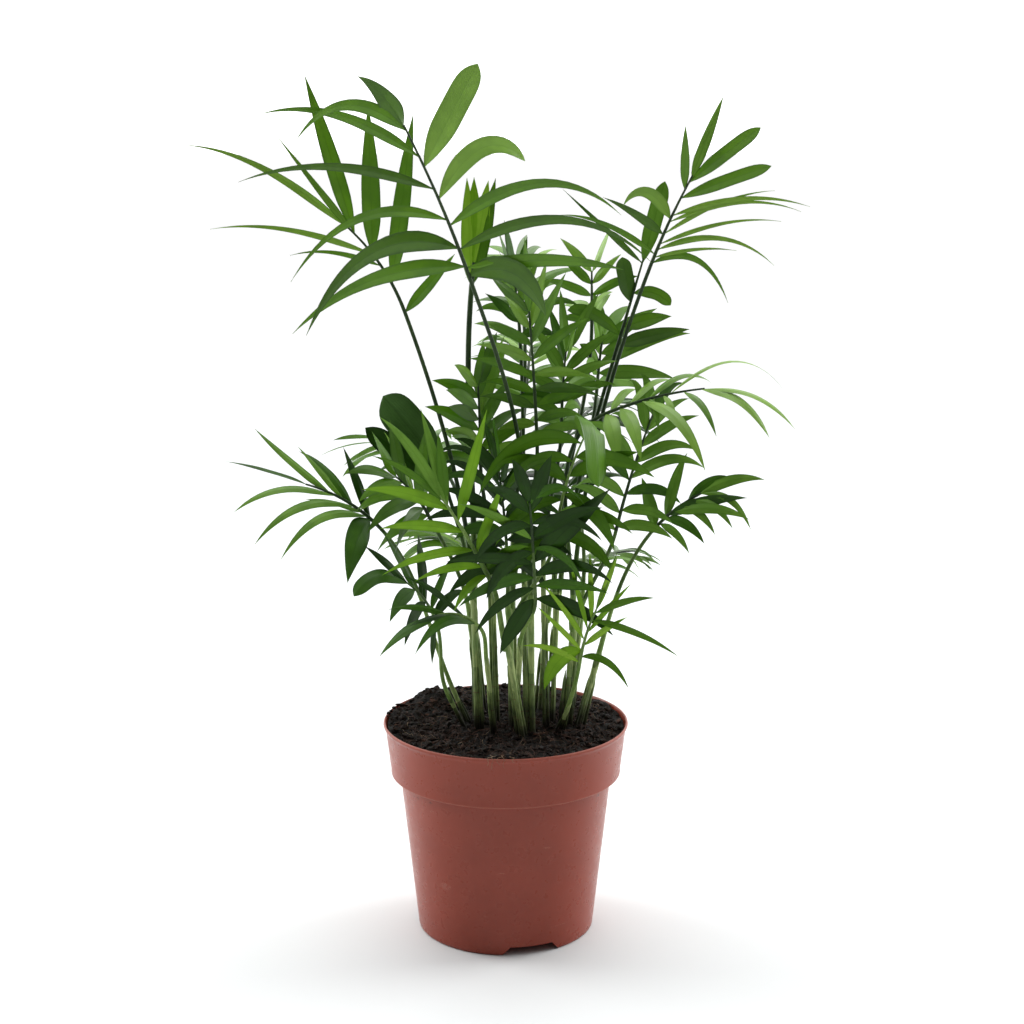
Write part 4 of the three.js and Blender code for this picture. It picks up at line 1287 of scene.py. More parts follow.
@dataclass
class Soil:
    """Peat in the pot: a rough, mounded top with crumbs, chips and root fibres. Millimetres.

    rim_crumbs are the bearings and radii of crumbs on the rim. strays are the bearings of fibres that
    hang over it and how far they hang, and stray_way the radii and heights that these run through.
    """

    level: float = SOIL_TOP - 0.4
    edge_radius: float = 57.9
    foot_radius: float = 55.4
    foot_level: float = 84.0
    flat_radius: float = 40.0
    edge_drop: float = 0.4
    banks: tuple[Bank, ...] = (Bank(2.8, 5.0, 62.0, -0.7), Bank(2.0, 10.0, 60.0, 0.5))
    coarse: Bumps = Bumps(9.0, 1.1, 3.1, 0.9, 2.1, 4)
    fine: Bumps = Bumps(2.6, 0.8, 7.7, 0.8, 2.2, 3)
    heap_height: float = 1.3
    heap_spread: float = 22.0
    mound_at: Span = (-34.0, 34.0)
    mound_reach: float = 22.0
    mound_height: float = 4.2
    rings: int = 76
    spokes: int = 280
    crumbs: int = 1500
    chips: int = 260
    crumb_shape: Point = (1.0, 1.0, 0.8)
    chip_shape: Point = (2.2, 0.8, 0.4)
    crumb_radius: Span = (0.35, 1.1)
    crumb_pushes: Span = (0.72, 1.25)
    crumb_tilt: float = 0.7
    crumb_margin: float = 1.6
    crumb_seat: float = 0.35
    large_crumb: float = 1.5
    outwards: float = 0.42
    rim_crumbs: tuple[Span, ...] = (
        (172, 1.3), (168, 0.9), (163, 1.1), (128, 1.2), (122, 0.8), (176, 0.7),
    )
    rim_level: float = 105.0
    fibres: int = 320
    pale_fibres: int = 40
    fibre_sides: int = 5
    fibre_step: float = 0.9
    fibre_steps: tuple[int, int] = (8, 15)
    fibre_margin: float = 6.0
    fibre_bend: float = 0.28
    fibre_wander: float = 0.2
    fibre_hops: Span = (0.3, 1.6)
    fibre_seat: float = 0.25
    fibre_radius: float = 0.13
    pale_radius: float = 0.085
    stray_radius: float = 0.1
    strays: tuple[Span, ...] = ((-97, 3.0), (-95.5, 4.5), (-93, 2.5), (-91, 4.0), (-87, 1.5))
    stray_way: tuple[Span, ...] = ((50, 103.6), (55, 104.6), (59.2, 105.5), (60.4, 105.2))
    seed: int = 7
    canes: dict[str, CanePlan] = field(default_factory=lambda: CANES)

    def height(self, x: float, y: float) -> float:
        """The top's height over a place.

        Args:
            x: Place along X, in millimetres.
            y: Place along Y, in millimetres.

        Returns:
            The height in millimetres.
        """
        away = min(math.hypot(x - self.mound_at[0], y - self.mound_at[1]) / self.mound_reach, 1.0)
        mound = self.mound_height * math.cos(math.pi / 2 * away) ** 2
        rim = -self.edge_drop * smooth_step(self.flat_radius, self.edge_radius, math.hypot(x, y))
        gaps = ((x - cane.foot[0]) ** 2 + (y - cane.foot[1]) ** 2 for cane in self.canes.values())
        heap = max(math.exp(-(gap / self.heap_spread)) for gap in gaps)
        bank = max(slope.at(x, y) for slope in self.banks)
        rough = self.coarse.at(x, y)
        return self.level + mound + rim + bank + rough + self.fine.at(x, y) + self.heap_height * heap

    def surface(self) -> Draft:
        """The soil's top with a skirt down the pot's wall.

        Returns:
            The draft of the piece.
        """
        points = [(0.0, 0.0, self.height(0, 0))]
        turns = [2 * math.pi * spoke / self.spokes for spoke in range(self.spokes)]
        for ring in range(1, self.rings + 1):
            radius = self.edge_radius * ring / self.rings
            for turn in turns:
                x, y = radius * math.cos(turn), radius * math.sin(turn)
                points.append((x, y, self.height(x, y)))
        for turn in turns:
            x, y = self.foot_radius * math.cos(turn), self.foot_radius * math.sin(turn)
            points.append((x, y, self.foot_level))
        points.append((0.0, 0.0, self.foot_level))
        faces: list[Face] = []
        last = len(points) - 1
        skirt = last - self.spokes
        for spoke in range(self.spokes):
            n = (spoke + 1) % self.spokes
            faces.append((0, 1 + spoke, 1 + n))
            for ring in range(self.rings):
                row = 1 + ring * self.spokes
                faces.append((row + spoke, row + self.spokes + spoke, row + self.spokes + n, row + n))
            faces.append((last, skirt + n, skirt + spoke))
        draft = Draft()
        draft.add(np.array(points) * MM, faces)
        return draft

    def lump(self, dice: random.Random, centre: Vector, size: Vector) -> tuple[np.ndarray, list[Face]]:
        """A crumb: a ball of twenty faces pushed out of round.

        Args:
            dice: The source of chance.
            centre: Its middle, in millimetres.
            size: Its half lengths, in millimetres.

        Returns:
            Its vertices in metres and its faces.
        """
        turn = Matrix.Rotation(dice.uniform(0, 6.28), 3, "Z")
        turn = turn @ Matrix.Rotation(dice.uniform(-self.crumb_tilt, self.crumb_tilt), 3, "X")
        places = []
        for corner in BALL_CORNERS:
            pushed = corner.normalized() * dice.uniform(*self.crumb_pushes)
            places.append(mm(centre + turn @ Vector([a * b for a, b in zip(pushed, size)])))
        return np.array(places), BALL_FACES

    def spot(self, dice: random.Random, edge: float) -> Span:
        """A chance place on the soil, the further out the likelier.

        Args:
            dice: The source of chance.
            edge: How far from the middle it may lie.

        Returns:
            Its place along X and Y.
        """
        radius = edge * dice.random() ** self.outwards
        turn = dice.uniform(0, 2 * math.pi)
        return radius * math.cos(turn), radius * math.sin(turn)

    def litter(self) -> Draft:
        """Crumbs, and flat chips of bark with the second finish.

        Returns:
            The draft of the piece.
        """
        dice = random.Random(self.seed)
        draft = Draft()
        for number in range(self.crumbs + self.chips):
            chip = number >= self.crumbs
            x, y = self.spot(dice, self.edge_radius - self.crumb_margin)
            radius = dice.uniform(*self.crumb_radius) + self.large_crumb * dice.random() ** 5
            size = Vector([radius * share for share in (self.chip_shape if chip else self.crumb_shape)])
            centre = Vector((x, y, self.height(x, y) + size.z * self.crumb_seat))
            draft.add(*self.lump(dice, centre, size), finish=int(chip))
        for bearing, radius in self.rim_crumbs:
            centre = heading(bearing) * (self.edge_radius + 0.6) + UP * (self.rim_level + radius * 0.6)
            draft.add(*self.lump(dice, centre, Vector([radius * share for share in self.crumb_shape])))
        return draft

    def roots(self) -> Draft:
        """Root fibres that lie curled on the peat, most of them in front: brown, then some pale ones.

        Returns:
            The draft of the piece.
        """
        dice = random.Random(self.seed + 1)
        draft = Draft()
        for number in range(self.fibres + self.pale_fibres):
            pale = number >= self.fibres
            x, y = self.spot(dice, self.edge_radius - self.fibre_margin)
            if y > 0 and dice.random() < 0.5:
                y = -y
            course = dice.uniform(0, 2 * math.pi)
            bend = dice.uniform(-self.fibre_bend, self.fibre_bend)
            hop = dice.uniform(*self.fibre_hops)
            steps = dice.randint(*self.fibre_steps)
            centres = []
            for step in range(steps + 1):
                if math.hypot(x, y) < self.edge_radius - 1:
                    rise = hop * math.sin(math.pi * step / steps)
                    centres.append(mm((x, y, self.height(x, y) + self.fibre_seat + rise)))
                x += self.fibre_step * math.cos(course)
                y += self.fibre_step * math.sin(course)
                course += bend + dice.uniform(-self.fibre_wander, self.fibre_wander)
            if len(centres) > 3:
                thick = self.pale_radius if pale else self.fibre_radius
                radii = [thick * MM * (1 - 0.6 * k / len(centres)) for k in range(len(centres))]
                draft.tube(centres, radii, self.fibre_sides, UP, int(pale))
        for bearing, hang in self.strays:
            out = heading(bearing)
            run = (*self.stray_way, (60.7, self.rim_level - hang / 2), (60.5, self.rim_level - hang))
            aside = UP.cross(out)
            centres = [
                mm(out * radius + aside * dice.uniform(-1.3, 1.3) + UP * height)
                for radius, height in run
            ]
            draft.tube(centres, [self.stray_radius * MM] * len(run), self.fibre_sides, EAST, 1)
        return draft

    def dress(self) -> None:
        """Builds and finishes the soil's three pieces."""
        peat = PeatFinish("peat").make()
        crumb = PeatFinish("peat_crumb", (0.006, 0.0045, 0.0036), (0.036, 0.019, 0.0125)).make()
        bark = PeatFinish("bark_chip", (0.018, 0.0095, 0.0065), (0.075, 0.034, 0.022)).make()
        fibre = StalkFinish("root_fibre", (0.07, 0.036, 0.024), (0.03, 0.016, 0.012), 0.8).make()
        pale = StalkFinish("root_fibre_pale", (0.3, 0.22, 0.14), (0.16, 0.1, 0.06), 0.7).make()
        settle(self.surface().piece("soil_top", [peat], 80), "soil", ["soil"])
        settle(self.litter().piece("soil_crumbs", [crumb, bark], 30), "soil")
        settle(self.roots().piece("root_fibres", [fibre, pale], 60), "soil")


def ball() -> tuple[list[Vector], list[Face]]:
    """A ball of twenty three-sided faces.

    Returns:
        Its corners, two units apart along its edges, and its faces.
    """
    golden = (1 + 5**0.5) / 2
    signs = [(s, t) for s in (-1, 1) for t in (-golden, golden)]
    corners = [Vector(place) for s, t in signs for place in ((0, s, t), (s, t, 0), (t, 0, s))]
    near = [[j for j, other in enumerate(corners) if 0 < (corner - other).length < 2.1] for corner in corners]
    faces = []
    for i, corner in enumerate(corners):
        for j in near[i]:
            for k in near[i]:
                if i < j < k and k in near[j]:
                    outward = (corners[j] - corner).cross(corners[k] - corner).dot(corner) > 0
                    faces.append((i, j, k) if outward else (i, k, j))
    return corners, faces


BALL_CORNERS, BALL_FACES = ball()


# ---------------------------------------------------------------- canes


@dataclass(frozen=True)
class Shoot:
    """One round shoot of a cane's clump: its foot, its top and its radius. Millimetres."""

    foot: Vector
    top: Vector
    radius: float

    @property
    def axis(self) -> Vector:
        """The way that it grows."""
        return (self.top - self.foot).normalized()

    @property
    def length(self) -> float:
        """How long it is."""
        return (self.top - self.foot).length


@dataclass
class Cane:
    """A ringed cane with its sheath, and the thinner shoots that stand close beside it. Millimetres."""

    name: str
    plan: CanePlan
    sides: int = 12
    step: float = 1.2
    sunk: float = 3.0
    flare: float = 0.22
    flare_height: float = 5.0
    main_share: float = 0.74
    thin_share: float = 0.6
    side_share: float = 0.42
    taper: float = 6.0
    side_counts: tuple[int, ...] = (2, 2, 3)
    side_heights: Span = (0.55, 0.92)
    side_gaps: Span = (1.2, 1.7)
    side_lean: float = 1.05
    scar_first: Span = (7.0, 14.0)
    scar_gaps: Span = (8.0, 20.0)
    scar_widening: float = 0.15
    scars_to: float = 0.55
    scar_half: float = 0.22
    scar_height: float = 0.07
    swell_height: float = 0.12
    swell_half: float = 1.2
    sheath_rows: int = 14
    sheath_wall: float = 0.22
    sheath_flare: float = 0.18
    sheath_gap: float = 0.1
    sheath_from: Span = (0.5, 0.64)
    sheath_short: Span = (0.5, 2.0)
    slant: float = 4.5

    def build(self) -> Draft:
        """The cane: finish 0 for its skin, 1 for scars and 2 for its sheath.

        Returns:
            The draft of the piece.
        """
        dice = random.Random(self.name)
        draft = Draft()
        for shoot in self.shoots(dice):
            scars = self.scars(dice, shoot)
            rows = int((shoot.length + self.sunk) / self.step)
            lengths = [-self.sunk + (shoot.length + self.sunk) * row / rows for row in range(rows + 1)]
            centres = [mm(shoot.foot + shoot.axis * along) for along in lengths]
            radii = [self.radius(shoot, along, scars) * MM for along in lengths]
            draft.tube(centres, radii, self.sides, EAST, 0)
            for scar in scars:
                middle = shoot.foot + shoot.axis * scar
                ends = [mm(middle + shoot.axis * gap) for gap in (-self.scar_half, 0.0, self.scar_half)]
                radius = self.radius(shoot, scar, scars) * MM
                ring = [radius * 0.99, radius + self.scar_height * MM, radius * 0.99]
                draft.tube(ends, ring, self.sides, EAST, 1)
        self.sheath(draft, dice, self.main())
        return draft

    def main(self) -> Shoot:
        """The shoot that carries the fronds."""
        return Shoot(self.plan.foot, Vector(self.plan.top), self.plan.radius * self.main_share)

    def shoots(self, dice: random.Random) -> list[Shoot]:
        """The main shoot and two or three thinner ones that lean on it.

        Args:
            dice: The source of chance.

        Returns:
            The shoots.
        """
        main = self.main()
        found = [main]
        for _ in range(dice.choice(self.side_counts)):
            turn = dice.uniform(0, 2 * math.pi)
            out = Vector((math.cos(turn), math.sin(turn), 0)) * self.plan.radius
            top = main.foot.lerp(main.top, dice.uniform(*self.side_heights)) + out * self.side_lean
            foot = main.foot + out * dice.uniform(*self.side_gaps)
            found.append(Shoot(foot, top, self.plan.radius * self.side_share))
        return found

    def scars(self, dice: random.Random, shoot: Shoot) -> list[float]:
        """Where a shoot has ring scars, closer towards the foot.

        Args:
            dice: The source of chance.
            shoot: The shoot.

        Returns:
            Their lengths along it.
        """
        heights = []
        height = dice.uniform(*self.scar_first)
        while height < shoot.length * self.scars_to:
            heights.append(height)
            height += dice.uniform(*self.scar_gaps) + height * self.scar_widening
        return heights

    def radius(self, shoot: Shoot, along: float, scars: Sequence[float]) -> float:
        """A shoot's radius, a little swollen at its foot and at each ring scar.

        Args:
            shoot: The shoot.
            along: The length along it.
            scars: Where its ring scars are.

        Returns:
            The radius there.
        """
        base = shoot.radius * (1 + self.flare * math.exp(-max(along, 0) / self.flare_height))
        thin = shoot.radius < self.plan.radius * self.thin_share
        tail = smooth_step(0, self.taper, shoot.length - along) if thin else 1.0
        swell = sum(
            self.swell_height * math.exp(-(((along - scar) / self.swell_half) ** 2))
            for scar in scars
        )
        return (base + swell) * (0.25 + 0.75 * tail)

    def sheath(self, draft: Draft, dice: random.Random, shoot: Shoot) -> None:
        """A sleeve round the cane's upper part that ends in a slanted mouth.

        Args:
            draft: Where it is added.
            dice: The source of chance.
            shoot: The shoot that it wraps.
        """
        foot, axis, length = shoot.foot, shoot.axis, shoot.length
        begin = length * dice.uniform(*self.sheath_from)
        end = length - dice.uniform(*self.sheath_short)
        slant_way = dice.uniform(0, 2 * math.pi)
        across = square_to(EAST, axis)
        other = axis.cross(across)
        points, places = [], []
        for layer in (0.0, -self.sheath_wall):
            for row in range(self.sheath_rows + 1):
                share = row / self.sheath_rows
                width = self.main_share + self.sheath_flare * share
                radius = self.plan.radius * width + self.sheath_gap + layer
                for k in range(self.sides):
                    turn = 2 * math.pi * k / self.sides
                    slant = self.slant * share**3 * math.cos(turn - slant_way)
                    spoke = across * math.cos(turn) + other * math.sin(turn)
                    points.append(mm(foot + axis * (begin + (end - begin) * share + slant) + spoke * radius))
                    places.append((k / self.sides, share * length * MM))
        mouth = self.sheath_rows * self.sides
        count = mouth + self.sides
        faces = []
        for a, b, c, d in ring_faces(self.sheath_rows, self.sides):
            faces.append((a, b, c, d))
            faces.append((count + b, count + a, count + d, count + c))
        for k in range(self.sides):
            n = (k + 1) % self.sides
            faces.append((mouth + k, mouth + n, count + mouth + n, count + mouth + k))
            faces.append((n, k, count + k, count + n))
        draft.add(np.array(points), faces, 2, np.array(places))


# ---------------------------------------------------------------- fronds


@dataclass
class Leaflet:
    """One leaflet of a frond, before or after it has made room for its neighbours. Millimetres."""

    side: int
    root: Vector
    midrib_way: Vector
    face: Vector
    spread: float
    lift: float
    length: float
    droop: float
    width: float
    blade: Blade
    twist: float
    wave: float
    tint: int
    steps: int = 24
    droop_power: float = 1.5
    seat: float = 0.2
    outline_step: int = 3
    outline_half: float = 0.35

    def ahead(self) -> Vector:
        """The way that it sets out.

        Returns:
            The unit vector.
        """
        right = self.midrib_way.cross(self.face).normalized()
        upper = right.cross(self.midrib_way).normalized()
        angle, tilt = math.radians(self.spread), math.radians(self.lift)
        way = self.midrib_way * math.cos(angle)
        way = way + right * (self.side * math.sin(angle) * math.cos(tilt))
        way = way + upper * (math.sin(angle) * math.sin(tilt))
        return way.normalized()

    def shifted(self, lift: float, spread: float, share: float) -> Leaflet:
        """The same leaflet, moved out of a neighbour's way."""
        return replace(self, lift=self.lift + lift, spread=self.spread + spread, length=self.length * share)

    def spine(self) -> tuple[list[Vector], list[Vector], list[Vector]]:
        """Runs along the leaflet as it bends down.

        Returns:
            Its middle points, the ways across it and the ways up from it, at even steps.
        """
        ahead = self.ahead()
        point = self.root + self.midrib_way.cross(self.face).normalized() * (self.side * self.seat)
        across = square_to(self.midrib_way, ahead)
        points, sideways, upward = [point.copy()], [across.copy()], [ahead.cross(across) * self.side]
        for i in range(1, self.steps + 1):
            share = i / self.steps
            way = (ahead - UP * (self.droop * share**self.droop_power)).normalized()
            point = point + way * (self.length / self.steps)
            across = square_to(across, way)
            turned = Matrix.Rotation(math.radians(self.twist) * share * share, 3, way) @ across
            points.append(point.copy())
            sideways.append(turned)
            upward.append(way.cross(turned) * self.side)
        return points, sideways, upward

    def outline(self) -> tuple[list[Vector], list[Face]]:
        """A coarse skin to test for room.

        Returns:
            Its points and faces.
        """
        points, sideways, _ = self.spine()
        skin, stops = [], range(0, self.steps + 1, self.outline_step)
        for i in stops:
            half = max(self.blade.half_width(i / self.steps) * self.width / 2, self.outline_half)
            skin.extend((points[i] - sideways[i] * half, points[i] + sideways[i] * half))
        faces = [(2 * k, 2 * k + 1, 2 * k + 3, 2 * k + 2) for k in range(len(stops) - 1)]
        return skin, faces


class Grid:
    """How a leaflet's surface is divided: rows along it and columns across."""

    ROWS = 22
    COLUMNS = 12
    EVENNESS = 0.45

    def __init__(self) -> None:
        """Works out the shares and the faces that all leaflets have alike."""
        even = np.linspace(0, 1, self.ROWS + 1)
        self.along = self.EVENNESS * even + (1 - self.EVENNESS) * (1 - np.cos(math.pi * even)) / 2
        self.across = np.linspace(-1, 1, self.COLUMNS + 1)
        width = self.COLUMNS + 1
        inner = self.COLUMNS - 1
        base = (self.ROWS + 1) * width

        def lower(row: int, column: int) -> int:
            """The number of a lower vertex: the edges are shared with the upper side."""
            return row * width + column if column in (0, self.COLUMNS) else base + row * inner + column - 1

        cells = [(r, c) for r in range(self.ROWS) for c in range(self.COLUMNS)]
        self.upper_faces = [
            (r * width + c, (r + 1) * width + c, (r + 1) * width + c + 1, r * width + c + 1) for r, c in cells
        ]
        self.lower_faces = [
            (lower(r, c + 1), lower(r + 1, c + 1), lower(r + 1, c), lower(r, c)) for r, c in cells
        ]
        self.end_faces = []
        for row, flip in ((0, False), (self.ROWS, True)):
            rim = [row * width + c for c in range(width)]
            back = [lower(row, c) for c in range(self.COLUMNS - 1, 0, -1)]
            self.end_faces.append(tuple(rim + back) if flip else tuple(reversed(rim + back)))


GRID = Grid()


@dataclass(frozen=True)
class BladeForm:
    """How a leaflet's skin is shaped across its width. Millimetres and shares of the half width."""

    thickness: float = 0.34
    full_depth_half: float = 1.5
    root_width: float = 0.7
    root_taper: float = 9.0
    tip_width: float = 0.16
    fold_root: float = 0.42
    fold_tip: float = 0.12
    fold_ease: float = 2.2
    pleat: float = 0.016
    ripple: float = 0.05
    ripple_turns: float = 9.0

    def lay(self, leaf: Leaflet, draft: Draft, upper: int, lower: int) -> None:
        """Adds a leaflet's closed skin to a draft.

        Args:
            leaf: The leaflet.
            draft: Where it goes.
            upper: The number of the upper side's finish.
            lower: The number of the lower side's finish.
        """
        points, sideways, upward = (np.array(rows) for rows in leaf.spine())
        even = np.linspace(0, 1, leaf.steps + 1)
        along = GRID.along

        def read(rows: np.ndarray) -> np.ndarray:
            """The rows at the grid's own shares."""
            return np.column_stack([np.interp(along, even, rows[:, k]) for k in range(3)])

        middle, across, up = read(points), read(sideways), read(upward)
        half = np.array([leaf.blade.half_width(a) * leaf.width / 2 for a in along])
        taper = np.clip(1 - along * self.root_taper, 0, 1) * self.root_width / 2
        half = np.maximum(half, np.maximum(taper, self.tip_width / 2))
        share = GRID.across
        fold = self.fold_root + (self.fold_tip - self.fold_root) * np.minimum(along * self.fold_ease, 1)
        pleats = self.pleat * np.cos(np.arange(len(share)) * math.pi)
        sway = self.ripple * np.sin(along * self.ripple_turns + leaf.wave)
        rise = (
            -fold[:, None] * np.abs(share)[None, :]
            + pleats[None, :]
            + sway[:, None] * share[None, :] * np.abs(share)[None, :]
        ) * half[:, None]
        centre = middle[:, None, :] + across[:, None, :] * (half[:, None] * share[None, :])[..., None]
        skin = centre + up[:, None, :] * rise[..., None]
        depth = self.thickness * (1 - share**2) * np.minimum(half / self.full_depth_half, 1)[:, None]
        under = skin - up[:, None, :] * depth[..., None]
        rows, columns = skin.shape[:2]
        places = np.empty((rows, columns, 2))
        places[..., 0] = (share[None, :] + 1) / 2
        places[..., 1] = (along * leaf.length * MM)[:, None]
        every = np.concatenate([skin.reshape(-1, 3), under[:, 1:-1].reshape(-1, 3)]) * MM
        spots = np.concatenate([places.reshape(-1, 2), places[:, 1:-1].reshape(-1, 2)])
        first, second, ends = GRID.upper_faces, GRID.lower_faces, GRID.end_faces
        if leaf.side < 0:
            first, second, ends = ([face[::-1] for face in faces] for faces in (first, second, ends))
        finishes = [upper] * (len(first) + len(ends)) + [lower] * len(second)
        draft.add(every, [*first, *ends, *second], finishes, spots)


BLADE_FORM = BladeForm()


@dataclass(frozen=True)
class Sway:
    """How far chance may move the leaflets of a frond whose looseness is 1. Degrees and shares."""

    spread: float = 14.0
    lift: float = 26.0
    loss: float = 0.14
    length: float = 0.16
    droop: float = 0.35
    twist: float = 60.0


@dataclass
class Frond:
    """A frond: its stalk, its midrib and its leaflets. Millimetres."""

    plan: FrondPlan
    sway: Sway = Sway()
    foot_radius: float = 1.1
    neck_radius: float = 0.9
    tip_radius: float = 0.45
    socket_radius: float = 1.45
    seat: float = 0.4
    sunk: float = 3.5
    lean: float = 0.08
    handle: float = 0.35
    rows: int = 30
    sides: int = 12
    groove: float = 0.18
    swell: float = 0.8
    swell_reach: float = 0.16
    upright_below: float = 0.05
    pale_below: float = 168.0
    green_below: float = 200.0
    face: Vector = field(init=False)
    axis: Vector = field(init=False)
    stalk: Bezier = field(init=False)
    midrib: Bezier = field(init=False)

    def __post_init__(self) -> None:
        """Lays out the stalk and the midrib from the plan."""
        plan = self.plan
        cane = CANES[plan.stem]
        self.axis = cane.axis
        self.face = Vector(plan.face).normalized()
        start = Vector(cane.top) + self.axis * self.seat
        leave = self.axis.copy()
        if plan.socket is not None:
            out = square_to(heading(plan.socket), self.axis)
            start = start + out * self.socket_radius
            leave = (leave + out * self.lean).normalized()
        neck, tip = Vector(plan.neck), Vector(plan.tip)
        chord = (tip - neck).normalized()
        hinge = chord.cross(UP)
        if hinge.length < self.upright_below:
            hinge = chord.cross(self.face)
        hinge.normalize()
        rising = Matrix.Rotation(math.radians(plan.arch), 3, hinge) @ chord
        setting = Matrix.Rotation(math.radians(-plan.arch), 3, hinge) @ chord
        bare, leafy = (neck - start).length, (tip - neck).length
        self.stalk = Bezier(start, start + leave * bare * plan.rise, neck - rising * bare * plan.ease, neck)
        bend = (neck + rising * leafy * self.handle, tip - setting * leafy * self.handle)
        self.midrib = Bezier(neck, *bend, tip)

    def leaflets(self) -> list[Leaflet]:
        """The leaflets that the plan asks for.

        Returns:
            The left side's, then the right side's.
        """
        plan = self.plan
        dice = random.Random(plan.name)
        found = []
        for k, side in enumerate((-1, 1)):
            count = plan.pairs[k]
            for i in range(count):
                share = i / (count - 1) if count > 1 else 1.0
                t = ramp(plan.at[k], share)
                blades = plan.blades[k]
                sway = [dice.uniform(-plan.loose, plan.loose) for _ in range(5)]
                fullness = 1 - self.sway.loss * plan.loose + self.sway.length * sway[2]
                found.append(
                    Leaflet(
                        side=side,
                        root=self.midrib.point(t),
                        midrib_way=self.midrib.way(t),
                        face=self.face,
                        spread=ramp(plan.spread[k], share) + self.sway.spread * sway[0],
                        lift=plan.lift + self.sway.lift * sway[1],
                        length=ramp(plan.reach[k], share) * fullness,
                        droop=ramp(plan.droop[k], share) * (1 + self.sway.droop * sway[3]),
                        width=ramp(plan.width[k], share),
                        blade=blades[min(int(share * len(blades)), len(blades) - 1)],
                        twist=self.sway.twist * sway[4],
                        wave=dice.uniform(0, 2 * math.pi),
                        tint="abc".index(plan.tints[k][i % len(plan.tints[k])]),
                    )
                )
        return found

    def rail(self) -> tuple[list[Vector], list[float]]:
        """The stalk and midrib as one line that starts sunk in the cane.

        Returns:
            Its points and its radii.
        """
        girth = self.plan.girth
        extra = max(CANES[self.plan.stem].radius * self.swell - self.foot_radius * girth, 0.0)
        centres = [self.stalk.first - self.axis * self.sunk]
        radii = [self.foot_radius * girth]
        for row in range(self.rows):
            t = row / self.rows
            swell = extra * math.exp(-((t / self.swell_reach) ** 2))
            centres.append(self.stalk.point(t))
            radii.append((self.foot_radius + (self.neck_radius - self.foot_radius) * t) * girth + swell)
        for row in range(self.rows + 1):
            t = row / self.rows
            centres.append(self.midrib.point(t))
            radii.append((self.neck_radius + (self.tip_radius - self.neck_radius) * t) * girth)
        return centres, radii

    def stalk_draft(self) -> Draft:
        """The stalk and midrib, channelled along the upper side: finish 0, 1 lower down and 2 at the foot.

        Returns:
            The draft of the piece.
        """
        centres, radii = self.rail()
        skins = [(centre.z < self.green_below) + (centre.z < self.pale_below) for centre in centres[:-1]]
        points, thick = [centre * MM for centre in centres], [radius * MM for radius in radii]
        draft = Draft()
        draft.tube(points, thick, self.sides, self.face, skins, self.groove)
        return draft


class Room:
    """What already stands in the crown, so that a new leaflet can be tested against it."""

    def __init__(self) -> None:
        """Starts empty."""
        self.kept: list[tuple[str, BVHTree, Vector, Vector]] = []

    @staticmethod
    def bounds(points: Sequence[Vector]) -> tuple[Vector, Vector]:
        """The lowest and highest corners of some points."""
        rows = np.array(points)
        return Vector(rows.min(0)), Vector(rows.max(0))

    def keep(self, owner: str, points: Sequence[Vector], faces: Sequence[Face]) -> None:
        """Takes a form in."""
        self.kept.append((owner, BVHTree.FromPolygons(points, faces), *self.bounds(points)))

    def keep_line(self, owner: str, centres: Sequence[Vector], radii: Sequence[float]) -> None:
        """Takes in a thin round limb as a four-sided tube.

        Args:
            owner: What it belongs to.
            centres: The points along its middle.
            radii: The radius at each.
        """
        ways = (EAST, Vector((0, 1, 0)), -EAST, Vector((0, -1, 0)))
        points = [centre + way * radius for centre, radius in zip(centres, radii) for way in ways]
        self.keep(owner, points, ring_faces(len(centres) - 1, len(ways)))

    def free(self, owner: str, points: Sequence[Vector], faces: Sequence[Face]) -> bool:
        """Tests whether a form has room.

        Args:
            owner: What it belongs to.
            points: Its points.
            faces: Its faces.

        Returns:
            Whether it runs into nothing that belongs to another owner.
        """
        low, high = self.bounds(points)
        tree = BVHTree.FromPolygons(points, faces)
        for other, grown, other_low, other_high in self.kept:
            if other == owner:
                continue
            if any(other_low[i] > high[i] or other_high[i] < low[i] for i in range(3)):
                continue
            if tree.overlap(grown):
                return False
        return True


